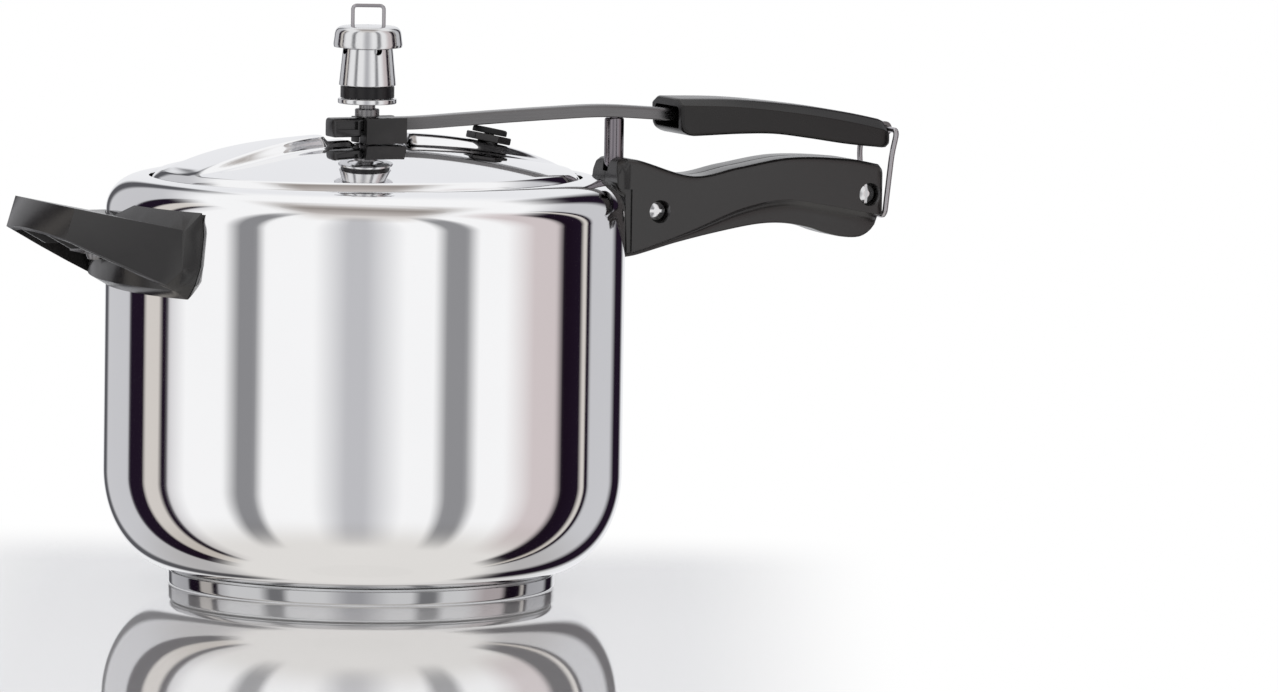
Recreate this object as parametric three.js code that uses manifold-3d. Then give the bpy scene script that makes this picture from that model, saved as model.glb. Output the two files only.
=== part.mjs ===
// Stove-top pressure cooker with an inner lid: an oval lid that seals upwards against the mouth's lip,
// a lever bar that rocks on a fulcrum post, a weight on the vent tube and a wire loop that locks the handles.
// Millimetres, +Z up, +X towards the long handle. The origin is the middle of the base's underside.
import * as THREE from 'three';
import { mergeVertices } from 'three/addons/utils/BufferGeometryUtils.js';
import Module from 'manifold-3d';

const wasm = await Module();
wasm.setup();

// Clearances
const seat = 0.3; // between faces that touch
const shankGap = 0.3; // round a screw or pin in its hole

// Base
const baseDiameter = 155;
const capHeight = 5.4;
const capWall = 0.8;
const coreRise = 1.0; // core edge that shows above the cap

// Vessel
const bodyDiameter = 208;
const bodyHeight = 164.5; // top of the mouth's lip
const bodyWall = 1.6;
const cornerWidth = 29; // rounded bottom corner
const cornerHeight = 39.3;
const shoulderHeight = 14.5;
const lipAtHandles = 15; // from the wall to the mouth's edge, on the handles' line
const lipAtSides = 25; // the same across it, which makes the mouth oval

// Lid
const lidWall = 1.8;
const lidClearance = 1.0; // between the lid's upstand and the lip
const flangeOverlap = 6; // flange under the lip
const gasketHeight = 2.7;
const rimRise = 2.3; // upstand above the lip
const rimRadius = 4.5;
const domeRise = 10.2;
const ridge = { rise: 4.5, halfWidth: 9.5, end: 0.988, ramp: 2.5, root: 1.2, tailGap: 2, bracketGap: 0.9 };

// Lid bracket and lever bar
const bracketLength = 17.5;
const bracketAhead = 3.4; // in front of the vent, away from the long handle
const bracketFloor = 5;
const bracketPlate = 3.2;
const barWidth = 9;
const barThickness = 5;
const barBevel = 0.8;
const tailLength = 16.4; // from the vent to the bar's free end
const tailBlock = 12;
const tailDepth = 2.6; // tail below the bar's underside
const tailSlot = { length: 9, height: 3.4, depth: 1.6, drop: 1.2, end: 1.6 };

// Fulcrum post
const postDiameter = 7.9;
const postOffset = 5; // from the vessel's wall
const postNeck = 4;
const postSlack = 1.3; // room for the post to rock between the handle's halves
const fulcrumDrop = 0.5; // seat below the mouth's lip

// Vent tube and its fittings
const ventDiameter = 6.5;
const ventBore = 2.4;
const ventAbove = 8.8; // above the collar
const ventBelow = 7; // below the lid
const ventHole = 10;
const collarDiameter = 9.8;
const collarHeight = 3.2;
const ventSealDiameter = 16;
const ventSealHeight = 1.5;
const ventNutFlats = 13;
const ventNutHeight = 4;

// Weight
const weightGap = 2.1; // between the collar and the weight's base ring
const weightCoreDiameter = 15;
const weightRing = { diameter: 23.7, height: 2 };
const weightBand = { diameter: 21.6, height: 4.6 };
const weightSleeve = { bottom: 23, top: 20, height: 15, wall: 1.4 };
const weightCap = { diameter: 27.8, height: 9.1, round: 4.2, crown: 0.8 };
const steamHole = { diameter: 3.8, count: 4, drop: 0.5, turn: -90 };
const bail = { width: 13.9, height: 8.3, wire: 1.5, depth: 2, bend: 1.8, turn: -25 };

// Safety valve
const valvePlace = 53; // from the vent, towards the long handle
const valveFlats = 16;
const valveHexHeight = 2.8;
const valveCap = { diameter: 14, height: 2.4 };
const valveStem = 8;
const valveDrill = 20; // half of the drill's reach through the lid
const valveSeal = { diameter: 14, height: 1.2 };
const valveNutHeight = 3.6;
const plugDiameter = 4;

// Body handle: two halves clamped on the bracket. Heights are measured from the mouth's lip,
// places along it from its front (0) to its end (1).
const handleFront = 6; // from the vessel's wall
const handleLength = 114.6;
const handleThickness = 25;
const handleEdge = 2.6; // rounding of the upper edge
const handleBottomInset = 4.6;
const topLine = [[0, 5.2], [0.05, 4.3], [0.263, -2.5], [0.438, 0.7], [0.642, 4.1], [0.876, 3], [1, 0.4]];
const ridgeLine = [
  [0, -32.8], [0.05, -31.9], [0.243, -24.8], [0.447, -16.1], [0.613, -13], [0.778, -15.5], [1, -20.3],
];
const lowerLine = [
  [0, -35.2], [0.05, -34.4], [0.21, -29.7], [0.38, -25.7], [0.53, -23], [0.63, -22.9],
  [0.73, -24.9], [0.79, -27.2], [0.86, -29], [0.93, -29.2], [0.97, -26.8], [1, -22.3],
];
const nose = { overhang: 5, height: 10, under: 4, heel: 6 };

// Handle bracket
const bracketPad = { halfWidth: 19, thickness: 1.6, below: 40, above: 8 };
const tongue = { thickness: 2.4, length: 46, root: 1, bend: 8, ahead: 2.5, behind: 7, ramp: 14 };
const tongueDepth = { root: 36, bend: 27, tip: 21, tipTop: 9, rampTop: 7 }; // below the mouth's lip

// Handle screws and nuts
const screwDiameter = 4;
const screwHead = { diameter: 8, height: 2.6, recess: 9.4, depth: 6.4, slotWidth: 1.2, slotDepth: 0.9 };
const nutFlats = 7;
const nutHeight = 3.2;
const nutDepth = 4.5;
const frontScrew = { along: 0.125, height: -16.5 };
const rearScrew = { along: 0.947, height: -11.5 };

// Lid handle
const lidHandleLength = 94.9;
const lidHandleBeyond = 2.7; // past the body handle's end
const lidHandleFrontWidth = 29;
const lidHandleEndWidth = 26;
const lidHandleWall = 3;
const lidMouthDepth = 12;
const lidTopLine = [[0, 29], [0.29, 28.2], [0.605, 25.1], [0.83, 21.7], [1, 18.3]];
const lidUnderLine = [
  [0, 15.2], [0.07, 13.7], [0.29, 14.3], [0.45, 14], [0.605, 12.1], [0.795, 9.3], [1, 7.1],
];
const lidScrewPlace = 0.25;
const lidScrewRise = 3; // shank into the bar

// Locking loop: its eye is at the end of the lever bar
const eyeBeyond = 1.6; // past the lid handle's end
const eyeHeight = 14.6; // above the mouth's lip
const eyeRadius = 3;
const loopWire = 2.3;
const loopHalf = { top: 15.5, knee: 15, low: 10.5 }; // half-widths
const loopKnee = { inset: 2, drop: 9.6 }; // where the legs bend in towards the handles
const loopDrop = 35;
const loopBend = 3;
const loopGap = 0.5; // between the crossbar and the handle's end
const loopSplit = 0.6; // half of the gap where the wire's ends meet in the eye

// Helper handle: heights below the mouth's lip
const helperReach = 38.8;
const helperBow = 4.5;
const helperEndHalf = 31.5;
const helperLean = 0.31; // the end moves out this much for each millimetre down
const helperRoot = 16; // plan drawn this far inside the wall, then cut to the vessel
const helperFoot = 4.6; // the skirt's level part, inside the wall
const helperFlare = 0.41; // half-width gained for each millimetre towards the vessel
const helperTopEnd = 8;
const helperTopRoot = 16;
const helperUnderEnd = 22.3;
const helperUnderRoot = 44;
const helperWall = 3.4;
const flangeThickness = 6.6;
const flangeTop = 9.3;
const flangeStart = 9; // the flange is raised from here to its near end
const flangeHalf = [[43, 0], [46.5, 6], [48.8, 13], [50.2, 26]]; // half-widths at heights above its foot
const flangeTopHalf = 49.5;
const helperRib = 2;
const helperRibPlace = 13;
const helperPad = { halfWidth: 18, height: 18, thickness: 1.8, below: 18 };
const helperTab = { halfWidth: 8, length: 20, thickness: 2.4, hole: 12 };
const helperBoss = 9;
const helperShank = 7; // screw above the tab

// Finishes
const mirrorSteel = { color: 0xc9cacc, roughness: 0.1, metalness: 1 };
const darkSteel = { color: 0x5d5960, roughness: 0.32, metalness: 1 };
const blackSteel = { color: 0x2a292a, roughness: 0.5, metalness: 0.6 };
const phenolic = { color: 0x2b2829, roughness: 0.38, metalness: 0 };
const aluminium = { color: 0xb4b6b8, roughness: 0.45, metalness: 1 };
const rubber = { color: 0x1d1d1e, roughness: 0.8, metalness: 0 };
const fusibleAlloy = { color: 0x8d8d8b, roughness: 0.5, metalness: 0.9 };

// Values that follow from the sizes above
const bodyRadius = bodyDiameter / 2;
const mouthX = bodyRadius - lipAtHandles;
const mouthY = bodyRadius - lipAtSides;
const bodyBottom = capHeight + coreRise + seat;
const shoulderStart = bodyHeight - shoulderHeight;
const cornerTop = bodyBottom + cornerHeight;
const lipUnder = bodyHeight - bodyWall;
const flangeTopZ = lipUnder - gasketHeight - 2 * seat;
const rimTop = bodyHeight + rimRise;
const lidApex = rimTop + domeRise;
const domeX = mouthX - lidClearance - rimRadius;
const domeY = mouthY - lidClearance - rimRadius;
const barUnder = lidApex + bracketFloor + 2 * seat;
const barCentre = barUnder + barThickness / 2;
const collarBottom = barUnder + barThickness + seat;
const collarTop = collarBottom + collarHeight;
const ventTop = collarTop + ventAbove;
const handleStart = bodyRadius + handleFront;
const handleEnd = handleStart + handleLength;
const lidHandleEnd = handleEnd + lidHandleBeyond;
const lidHandleStart = lidHandleEnd - lidHandleLength;
const eyeX = lidHandleEnd + eyeBeyond;
const eyeZ = bodyHeight + eyeHeight;
const postX = bodyRadius + postOffset;
const fulcrumSeat = bodyHeight - fulcrumDrop;
const postBall = fulcrumSeat + seat + postDiameter / 2;
const far = 400; // longer than any piece, for cutting tools

// Closed geometry helpers

// Merges shared vertices, drops slivers at poles and turns the faces outwards.
function cleaned(geometry) {
  const bare = new THREE.BufferGeometry();
  bare.setAttribute('position', geometry.getAttribute('position').clone());
  if (geometry.index) bare.setIndex(geometry.index.clone());
  const merged = mergeVertices(bare, 1e-4);
  const from = merged.index.array;
  const index = [];
  for (let i = 0; i < from.length; i += 3) {
    const [a, b, c] = [from[i], from[i + 1], from[i + 2]];
    if (a !== b && b !== c && c !== a) index.push(a, b, c);
  }
  if (signedVolume(merged.getAttribute('position'), index) < 0) index.reverse();
  merged.setIndex(index);
  return merged;
}

function signedVolume(position, index) {
  const corner = [0, 1, 2].map(() => new THREE.Vector3());
  let sum = 0;
  for (let i = 0; i < index.length; i += 3) {
    corner.forEach((point, k) => point.fromBufferAttribute(position, index[i + k]));
    sum += corner[0].dot(corner[1].clone().cross(corner[2]));
  }
  return sum / 6;
}

function solid(geometry) {
  const closed = cleaned(geometry);
  const vertProperties = new Float32Array(closed.getAttribute('position').array);
  const triVerts = new Uint32Array(closed.index.array);
  return new wasm.Manifold(new wasm.Mesh({ numProp: 3, vertProperties, triVerts }));
}

function geometryOf(body) {
  const mesh = body.getMesh();
  const geometry = new THREE.BufferGeometry();
  geometry.setAttribute('position', new THREE.BufferAttribute(new Float32Array(mesh.vertProperties), 3));
  geometry.setIndex([...mesh.triVerts]);
  return geometry;
}

const joined = (first, ...rest) => rest.reduce((sum, next) => sum.add(next), first);
const cut = (first, ...rest) => rest.reduce((left, next) => left.subtract(next), first);

// A skin over rings of points: closed on itself, or capped flat at both ends.
function loft(rings, closed = false) {
  const count = rings[0].length;
  const points = rings.flat();
  const index = [];
  const spans = closed ? rings.length : rings.length - 1;
  for (let ring = 0; ring < spans; ring += 1) {
    const here = ring * count;
    const next = ((ring + 1) % rings.length) * count;
    for (let i = 0; i < count; i += 1) {
      const j = (i + 1) % count;
      index.push(here + i, here + j, next + j, here + i, next + j, next + i);
    }
  }
  if (!closed) {
    for (const [ring, flip] of [[0, true], [rings.length - 1, false]]) {
      const middle = new THREE.Vector3();
      rings[ring].forEach((point) => middle.addScaledVector(point, 1 / count));
      points.push(middle);
      for (let i = 0; i < count; i += 1) {
        const edge = [ring * count + i, ring * count + (i + 1) % count];
        if (flip) edge.reverse();
        index.push(...edge, points.length - 1);
      }
    }
  }
  const geometry = new THREE.BufferGeometry().setFromPoints(points);
  geometry.setIndex(index);
  return cleaned(geometry);
}

// One level ring of an oval, lifted at each angle by an optional function.
function oval(halfX, halfY, z, lift = () => 0) {
  const ring = [];
  for (let i = 0; i < ovalSides; i += 1) {
    const angle = (i / ovalSides) * 2 * Math.PI;
    ring.push(new THREE.Vector3(halfX * Math.cos(angle), halfY * Math.sin(angle), z + lift(angle)));
  }
  return ring;
}
const ovalSides = 44;

// A turned piece about Z from (radius, z) points; rings with a bore close on themselves.
function turned(points, sides = 32) {
  const profile = points.map(([r, z]) => new THREE.Vector2(r, z));
  if (points[0][0] > 0) profile.push(profile[0].clone());
  return cleaned(new THREE.LatheGeometry(profile, sides).rotateX(Math.PI / 2));
}

const ring = (inner, outer, low, high, sides) => (
  turned([[inner, low], [outer, low], [outer, high], [inner, high]], sides)
);
const disc = (radius, low, high, sides) => (
  turned([[0, low], [radius, low], [radius, high], [0, high]], sides)
);
const acrossFlats = (flats) => flats / Math.sqrt(3); // corner radius of a hexagon

function block([x0, x1], [y0, y1], [z0, z1]) {
  const box = new THREE.BoxGeometry(x1 - x0, y1 - y0, z1 - z0);
  return box.translate((x0 + x1) / 2, (y0 + y1) / 2, (z0 + z1) / 2);
}

function outline(points) {
  return new THREE.Shape(points.map(([a, b]) => new THREE.Vector2(a, b)));
}

// A shape drawn in X and Z, extruded along Y.
function sidePlate(shape, y0, y1, bevel = 0) {
  const options = { depth: y1 - y0 - 2 * bevel, curveSegments: 10, bevelEnabled: bevel > 0 };
  Object.assign(options, { bevelSize: bevel, bevelThickness: bevel, bevelOffset: -bevel, bevelSegments: 1 });
  return new THREE.ExtrudeGeometry(shape, options).rotateX(Math.PI / 2).translate(0, y1 - bevel, 0);
}

// A shape drawn in Y and Z, extruded along X.
function facePlate(shape, x0, x1) {
  return new THREE.ExtrudeGeometry(shape, { depth: x1 - x0, bevelEnabled: false })
    .rotateX(Math.PI / 2).rotateZ(Math.PI / 2).translate(x0, 0, 0);
}

// A round bar along Y.
function crossRod(radius, x, z, y0, y1, sides = 16) {
  return new THREE.CylinderGeometry(radius, radius, y1 - y0, sides).translate(x, (y0 + y1) / 2, z);
}

// A smooth line through (place, height) points.
function smooth(points) {
  const places = new Float32Array(points.map((point) => point[0]));
  const heights = new Float32Array(points.map((point) => point[1]));
  const line = new THREE.CubicInterpolant(places, heights, 1);
  return (place) => line.evaluate(place)[0];
}

// Wire through corner points, with rounded bends.
function bentWire(corners, bend, diameter, steps) {
  const path = new THREE.CurvePath();
  let start = corners[0];
  for (let i = 1; i < corners.length - 1; i += 1) {
    const before = corners[i - 1].clone().sub(corners[i]).setLength(bend).add(corners[i]);
    const after = corners[i + 1].clone().sub(corners[i]).setLength(bend).add(corners[i]);
    path.add(new THREE.LineCurve3(start, before));
    path.add(new THREE.QuadraticBezierCurve3(before, corners[i], after));
    start = after;
  }
  path.add(new THREE.LineCurve3(start, corners[corners.length - 1]));
  const section = new THREE.Shape().absarc(0, 0, diameter / 2, 0, 2 * Math.PI);
  return new THREE.ExtrudeGeometry(section, { steps, curveSegments: 4, extrudePath: path });
}

const cooker = new THREE.Group();

function piece(name, geometry, finish, parent = cooker) {
  const mesh = new THREE.Mesh(cleaned(geometry), new THREE.MeshStandardMaterial(finish));
  mesh.name = name;
  parent.add(mesh);
  return mesh;
}

// Vessel

function bodyShell() {
  const cornerSteps = 5;
  const shoulderSteps = 5;
  const corner = (wall) => {
    const rings = [];
    for (let i = 0; i <= cornerSteps; i += 1) {
      const angle = (i / cornerSteps) * (Math.PI / 2);
      const radius = bodyRadius - cornerWidth + (cornerWidth - wall) * Math.sin(angle);
      rings.push(oval(radius, radius, cornerTop - (cornerHeight - wall) * Math.cos(angle)));
    }
    return rings;
  };
  const shoulder = (wall) => {
    const rings = [];
    const radius = bodyRadius - wall;
    for (let i = 0; i <= shoulderSteps; i += 1) {
      const angle = (i / shoulderSteps) * (Math.PI / 2);
      const inset = 1 - Math.cos(angle);
      const z = shoulderStart + (shoulderHeight - wall) * Math.sin(angle);
      rings.push(oval(radius - (radius - mouthX) * inset, radius - (radius - mouthY) * inset, z));
    }
    return rings;
  };
  const outside = [...corner(0), ...shoulder(0)];
  const inside = [...corner(bodyWall), ...shoulder(bodyWall)].reverse();
  return loft([...outside, ...inside]);
}

function baseCap() {
  const radius = baseDiameter / 2;
  const edge = 0.9; // rounded lower edge
  const inner = radius - capWall;
  return turned([
    [0, 0], [radius - edge, 0], [radius, edge], [radius, capHeight], [inner, capHeight],
    [inner, capWall], [0, capWall],
  ], 48);
}

function baseCore() {
  const radius = baseDiameter / 2 - capWall - seat;
  return disc(radius, capWall + seat, capHeight + coreRise, 48);
}

piece('body_shell', bodyShell(), mirrorSteel);
piece('base_core', baseCore(), aluminium);
piece('base_cap', baseCap(), mirrorSteel);

// Body handle

const handleTop = smooth(topLine);
const handleRidge = smooth(ridgeLine);
const handleLower = smooth(lowerLine);
const handleX = (along) => handleStart + along * handleLength;
const handleStations = [0, 0.05, 0.12, 0.2, 0.28, 0.37, 0.46, 0.55, 0.64, 0.73, 0.8, 0.87, 0.93, 0.97, 1];

// Ring of one half at a station; side is -1 for the half on the -Y side.
function handleSection(along, side) {
  const x = handleX(along);
  const [top, ridge, low] = [handleTop, handleRidge, handleLower].map((line) => bodyHeight + line(along));
  const face = handleThickness / 2;
  const bottom = face - handleBottomInset;
  const cove = ridge - low;
  return [
    [seat / 2, top], [face - 2 * handleEdge, top], [face - 0.6 * handleEdge, top - 0.4 * handleEdge],
    [face, top - 1.4 * handleEdge], [face, ridge], [face - 0.6 * handleBottomInset, ridge - 0.3 * cove],
    [bottom, low + 0.25 * cove], [bottom - 0.6, low], [seat / 2, low],
  ].map(([y, z]) => new THREE.Vector3(x, side * y, z));
}

function tongueOutline(grow) {
  const root = bodyRadius + tongue.root - grow;
  const tip = bodyRadius + tongue.length + grow;
  const crown = fulcrumSeat + grow;
  return outline([
    [root, bodyHeight - tongueDepth.root - grow],
    [handleStart + tongue.bend, bodyHeight - tongueDepth.bend - grow],
    [tip, bodyHeight - tongueDepth.tip - grow],
    [tip, bodyHeight - tongueDepth.tipTop + grow],
    [postX + tongue.ramp + grow, bodyHeight - tongueDepth.rampTop + grow],
    [postX + tongue.behind + grow, crown],
    [postX - tongue.ahead - grow, crown], [root, bodyHeight - bracketPad.above + grow],
  ]);
}

function screwAt(place) {
  return [handleX(place.along), bodyHeight + place.height];
}

function handleHalf(side) {
  const face = side * handleThickness / 2;
  const half = solid(loft(handleStations.map((along) => handleSection(along, side))));
  const top = bodyHeight + handleTop(0);
  const noseShape = outline([
    [handleStart - 1, top], [handleStart - nose.overhang, top - nose.under],
    [handleStart - nose.overhang - 1, top - nose.height], [handleStart - 1, top - nose.height - nose.heel],
    [handleStart + 4, top - nose.height - nose.heel], [handleStart + 4, bodyHeight + handleTop(0.04)],
  ]);
  const [y0, y1] = side < 0 ? [face + 1, -seat / 2] : [seat / 2, face - 1];
  const pocketSide = tongue.thickness / 2 + seat;
  const pocket = solid(sidePlate(tongueOutline(seat), -pocketSide, pocketSide));
  const slotRadius = postDiameter / 2 + postSlack;
  const slot = solid(disc(slotRadius, fulcrumSeat, fulcrumSeat + far, 24).translate(postX, 0, 0));
  const tools = [pocket, slot];
  for (const place of [frontScrew, rearScrew]) {
    const [x, z] = screwAt(place);
    tools.push(solid(crossRod(screwDiameter / 2 + shankGap, x, z, -far, far)));
    if (side < 0) {
      tools.push(solid(crossRod(screwHead.recess / 2, x, z, face - 1, face + screwHead.depth, 20)));
    } else {
      const hex = acrossFlats(nutFlats + 2 * seat);
      tools.push(solid(crossRod(hex, x, z, face - nutDepth, face + 1, 6)));
    }
  }
  const noseBody = solid(sidePlate(noseShape, y0, y1));
  return geometryOf(cut(half.add(noseBody), ...tools));
}

function handleBracket() {
  const inner = bodyRadius + seat;
  const outer = inner + bracketPad.thickness;
  const low = bodyHeight - bracketPad.below;
  const high = shoulderStart - 1;
  const cylinder = solid(ring(inner, outer, low, high, 96));
  const window = solid(block([0, far], [-bracketPad.halfWidth, bracketPad.halfWidth], [low - 1, high + 1]));
  const pad = cylinder.intersect(window);
  const clear = solid(disc(inner, -far, far, 96));
  const plate = solid(sidePlate(tongueOutline(0), -tongue.thickness / 2, tongue.thickness / 2));
  const [x, z] = screwAt(frontScrew);
  const hole = solid(crossRod(screwDiameter / 2 + shankGap, x, z, -far, far));
  return geometryOf(cut(joined(pad, plate), clear, hole));
}

// Slotted cheese-head screw along Y, head towards -Y.
function handleScrew(place) {
  const [x, z] = screwAt(place);
  const bed = -handleThickness / 2 + screwHead.depth - seat;
  const top = bed - screwHead.height;
  const tip = handleThickness / 2 - nutDepth + nutHeight + seat;
  const head = solid(crossRod(screwHead.diameter / 2, x, z, top, bed, 20));
  const shank = solid(crossRod(screwDiameter / 2, x, z, bed - 0.5, tip));
  const half = screwHead.slotWidth / 2;
  const slot = solid(block([x - half, x + half], [top - 1, top + screwHead.slotDepth], [z - far, z + far]));
  return geometryOf(cut(head.add(shank), slot));
}

function handleNut(place) {
  const [x, z] = screwAt(place);
  const low = handleThickness / 2 - nutDepth + seat;
  const nut = solid(crossRod(acrossFlats(nutFlats), x, z, low, low + nutHeight, 6));
  return geometryOf(nut.subtract(solid(crossRod(screwDiameter / 2 + shankGap, x, z, -far, far))));
}

piece('handle_bracket', handleBracket(), darkSteel);
piece('body_handle_near', handleHalf(-1), phenolic);
piece('body_handle_far', handleHalf(1), phenolic);
for (const [end, place] of [['front', frontScrew], ['rear', rearScrew]]) {
  piece(`handle_screw_${end}`, handleScrew(place), mirrorSteel);
  piece(`handle_nut_${end}`, handleNut(place), darkSteel);
}

// Helper handle, on the -X side. It is drawn towards +X and turned round.

const helper = new THREE.Group();
helper.rotation.z = Math.PI;
cooker.add(helper);
const helperCorner = bodyRadius + helperReach - helperBow;

// Trapezoid with a bowed, leaning end, drawn inwards by a wall.
function helperRing(wall, z) {
  const root = bodyRadius - helperRoot;
  const lean = helperLean * (bodyHeight - helperTopEnd - z);
  const slope = Math.hypot(1, helperFlare);
  const endHalf = helperEndHalf + wall * helperFlare - wall * slope;
  const rootHalf = endHalf + (helperCorner - wall - root) * helperFlare;
  const bowSteps = 10;
  const points = [[root, -rootHalf]];
  for (let i = 0; i <= bowSteps; i += 1) {
    const across = (2 * i) / bowSteps - 1;
    points.push([helperCorner - wall + lean + helperBow * (1 - across ** 2), across * endHalf]);
  }
  points.push([root, rootHalf]);
  return points.map(([x, y]) => new THREE.Vector3(x, y, z));
}

function helperPlan(wall) {
  const low = bodyHeight - helperUnderRoot - helperRoot;
  return loft([helperRing(wall, low), helperRing(wall, bodyHeight)]);
}

function helperSide(topWall, open) {
  const root = bodyRadius - helperRoot;
  const foot = bodyRadius - helperFoot;
  const end = helperCorner + 5 * helperBow;
  const rise = (helperTopRoot - helperTopEnd) / (helperCorner - foot);
  const underRise = (helperUnderRoot - helperUnderEnd) / (helperCorner - foot);
  const top = (x) => bodyHeight - helperTopRoot + (x - foot) * rise - topWall;
  const under = (x) => bodyHeight - helperUnderRoot + Math.max(0, x - foot) * underRise - open;
  const lower = [root, foot, end].map((x) => [x, under(x)]);
  const upper = [end, root].map((x) => [x, top(x)]);
  return outline([...lower, ...upper]);
}

function helperFlange() {
  const inner = bodyRadius + seat;
  const outer = inner + flangeThickness;
  const low = bodyHeight - helperUnderRoot;
  const high = bodyHeight - flangeTop;
  const valley = bodyHeight - helperTopRoot;
  const curved = solid(turned([[inner, low], [outer, low], [outer, valley], [inner, high]], 96));
  const near = flangeHalf.map(([y, rise]) => [y, low + rise]);
  const away = near.map(([y, z]) => [-y, z]).reverse();
  const shield = solid(facePlate(outline([
    ...near, [flangeTopHalf, high], [flangeStart, high], [flangeStart - 2 * flangeThickness, valley],
    [-flangeTopHalf, valley], ...away,
  ]), 0, far));
  return curved.intersect(shield);
}

// Space below the handle, which rises from the skirt's lower edge to the outer corners.
function helperUnderside() {
  const inner = bodyRadius + seat;
  const low = bodyHeight - helperUnderRoot;
  const rise = (helperUnderRoot - helperUnderEnd) / (Math.hypot(helperCorner, helperEndHalf) - inner);
  const outer = inner + far;
  return solid(turned([[inner, low - far], [outer, low - far], [outer, low + rise * far], [inner, low]], 96));
}

function helperHandle() {
  const flangeFace = bodyRadius + seat + flangeThickness;
  const wallLine = solid(disc(flangeFace, -1, bodyHeight + far, 96));
  const inFlange = solid(disc(flangeFace - 0.5, -1, bodyHeight + far, 96));
  const outside = solid(helperPlan(0))
    .intersect(solid(sidePlate(helperSide(0, 0), -far, far)))
    .subtract(inFlange);
  const hollow = solid(helperPlan(helperWall))
    .intersect(solid(sidePlate(helperSide(helperWall, 1), -far, far)));
  const ribs = [-1, 1].map((side) => solid(block(
    [bodyRadius, helperCorner + 5 * helperBow],
    [side * helperRibPlace - helperRib / 2, side * helperRibPlace + helperRib / 2],
    [tabTop + seat, bodyHeight + far],
  )));
  const boss = solid(disc(helperBoss / 2, tabTop + seat, bodyHeight + far, 20).translate(tabHoleX, 0, 0));
  const space = cut(hollow, wallLine, ...ribs, boss);
  const padSize = helperPad.halfWidth + seat;
  const padPocket = solid(block(
    [0, bodyRadius + 2 * seat + helperPad.thickness],
    [-padSize, padSize],
    [padLow - seat, padLow + helperPad.height + seat],
  ));
  const tabSize = helperTab.halfWidth + seat;
  const tabPocket = solid(block(
    [0, bodyRadius + seat + helperTab.length + seat],
    [-tabSize, tabSize],
    [tabTop - helperTab.thickness - screwHead.height - 3 * seat, tabTop + seat],
  ));
  const screwHole = solid(disc(screwDiameter / 2 + shankGap, 0, helperShankTop + seat, 16)
    .translate(tabHoleX, 0, 0));
  const vessel = solid(disc(bodyRadius + seat, -1, bodyHeight + far, 96));
  const tools = [space, vessel, padPocket, tabPocket, screwHole, helperUnderside()];
  return geometryOf(cut(outside.add(helperFlange()), ...tools));
}

const padLow = bodyHeight - helperPad.below - helperPad.height;
const tabTop = padLow + helperPad.height / 2 + helperTab.thickness / 2;
const tabHoleX = bodyRadius + seat + helperTab.hole;
const helperShankTop = tabTop + helperShank;

function helperBracket() {
  const inner = bodyRadius + seat;
  const padTop = padLow + helperPad.height;
  const curved = solid(ring(inner, inner + helperPad.thickness, padLow, padTop, 96));
  const across = [-helperPad.halfWidth, helperPad.halfWidth];
  const window = solid(block([0, far], across, [padLow - 1, padTop + 1]));
  const tab = solid(block(
    [inner + helperPad.thickness / 2, inner + helperTab.length],
    [-helperTab.halfWidth, helperTab.halfWidth],
    [tabTop - helperTab.thickness, tabTop],
  ));
  const hole = solid(disc(screwDiameter / 2 + shankGap, -1, far, 16).translate(tabHoleX, 0, 0));
  return geometryOf(joined(curved.intersect(window), tab).subtract(hole));
}

function helperScrew() {
  const bed = tabTop - helperTab.thickness - seat;
  const shank = screwDiameter / 2;
  const head = screwHead.diameter / 2;
  return turned([
    [0, bed - screwHead.height], [head - 0.6, bed - screwHead.height], [head, bed - 0.8], [head, bed],
    [shank, bed], [shank, helperShankTop], [0, helperShankTop],
  ], 20).translate(tabHoleX, 0, 0);
}

piece('helper_bracket', helperBracket(), darkSteel, helper);
piece('helper_handle', helperHandle(), phenolic, helper);
piece('helper_screw', helperScrew(), darkSteel, helper);

// Lid

// Height of the lid's outer face above the rim, at a share of the way from the centre to the rim.
const domeLift = (share) => domeRise * (1 - share ** 2);
const ridgeLift = (x) => ridge.rise * (1 - (x / domeX) ** 4);

function lidShell() {
  const domeShares = [0.12, 0.3, 0.53, 0.77, 1];
  const rimSteps = [0.34, 0.67, 1];
  const hole = ventHole / 2;
  const dome = (wall) => domeShares.map((share) => (
    oval(domeX * share, domeY * share, rimTop - wall + domeLift(share))
  ));
  const rim = (wall) => rimSteps.map((step) => {
    const angle = step * (Math.PI / 2);
    const out = (rimRadius - wall) * Math.sin(angle);
    return oval(domeX + out, domeY + out, rimTop - rimRadius + (rimRadius - wall) * Math.cos(angle));
  });
  const upstandX = domeX + rimRadius;
  const upstandY = domeY + rimRadius;
  const edgeX = mouthX + flangeOverlap;
  const edgeY = mouthY + flangeOverlap;
  const flangeLow = flangeTopZ - lidWall;
  const apexRing = (wall) => oval(hole, hole, lidApex - wall - domeRise * (hole / domeX) ** 2);
  return loft([
    apexRing(0), ...dome(0), ...rim(0),
    oval(upstandX, upstandY, flangeTopZ), oval(edgeX, edgeY, flangeTopZ),
    oval(edgeX, edgeY, flangeLow), oval(upstandX - lidWall, upstandY - lidWall, flangeLow),
    ...rim(lidWall).reverse(), ...dome(lidWall).reverse(), apexRing(lidWall),
  ], true);
}

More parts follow.
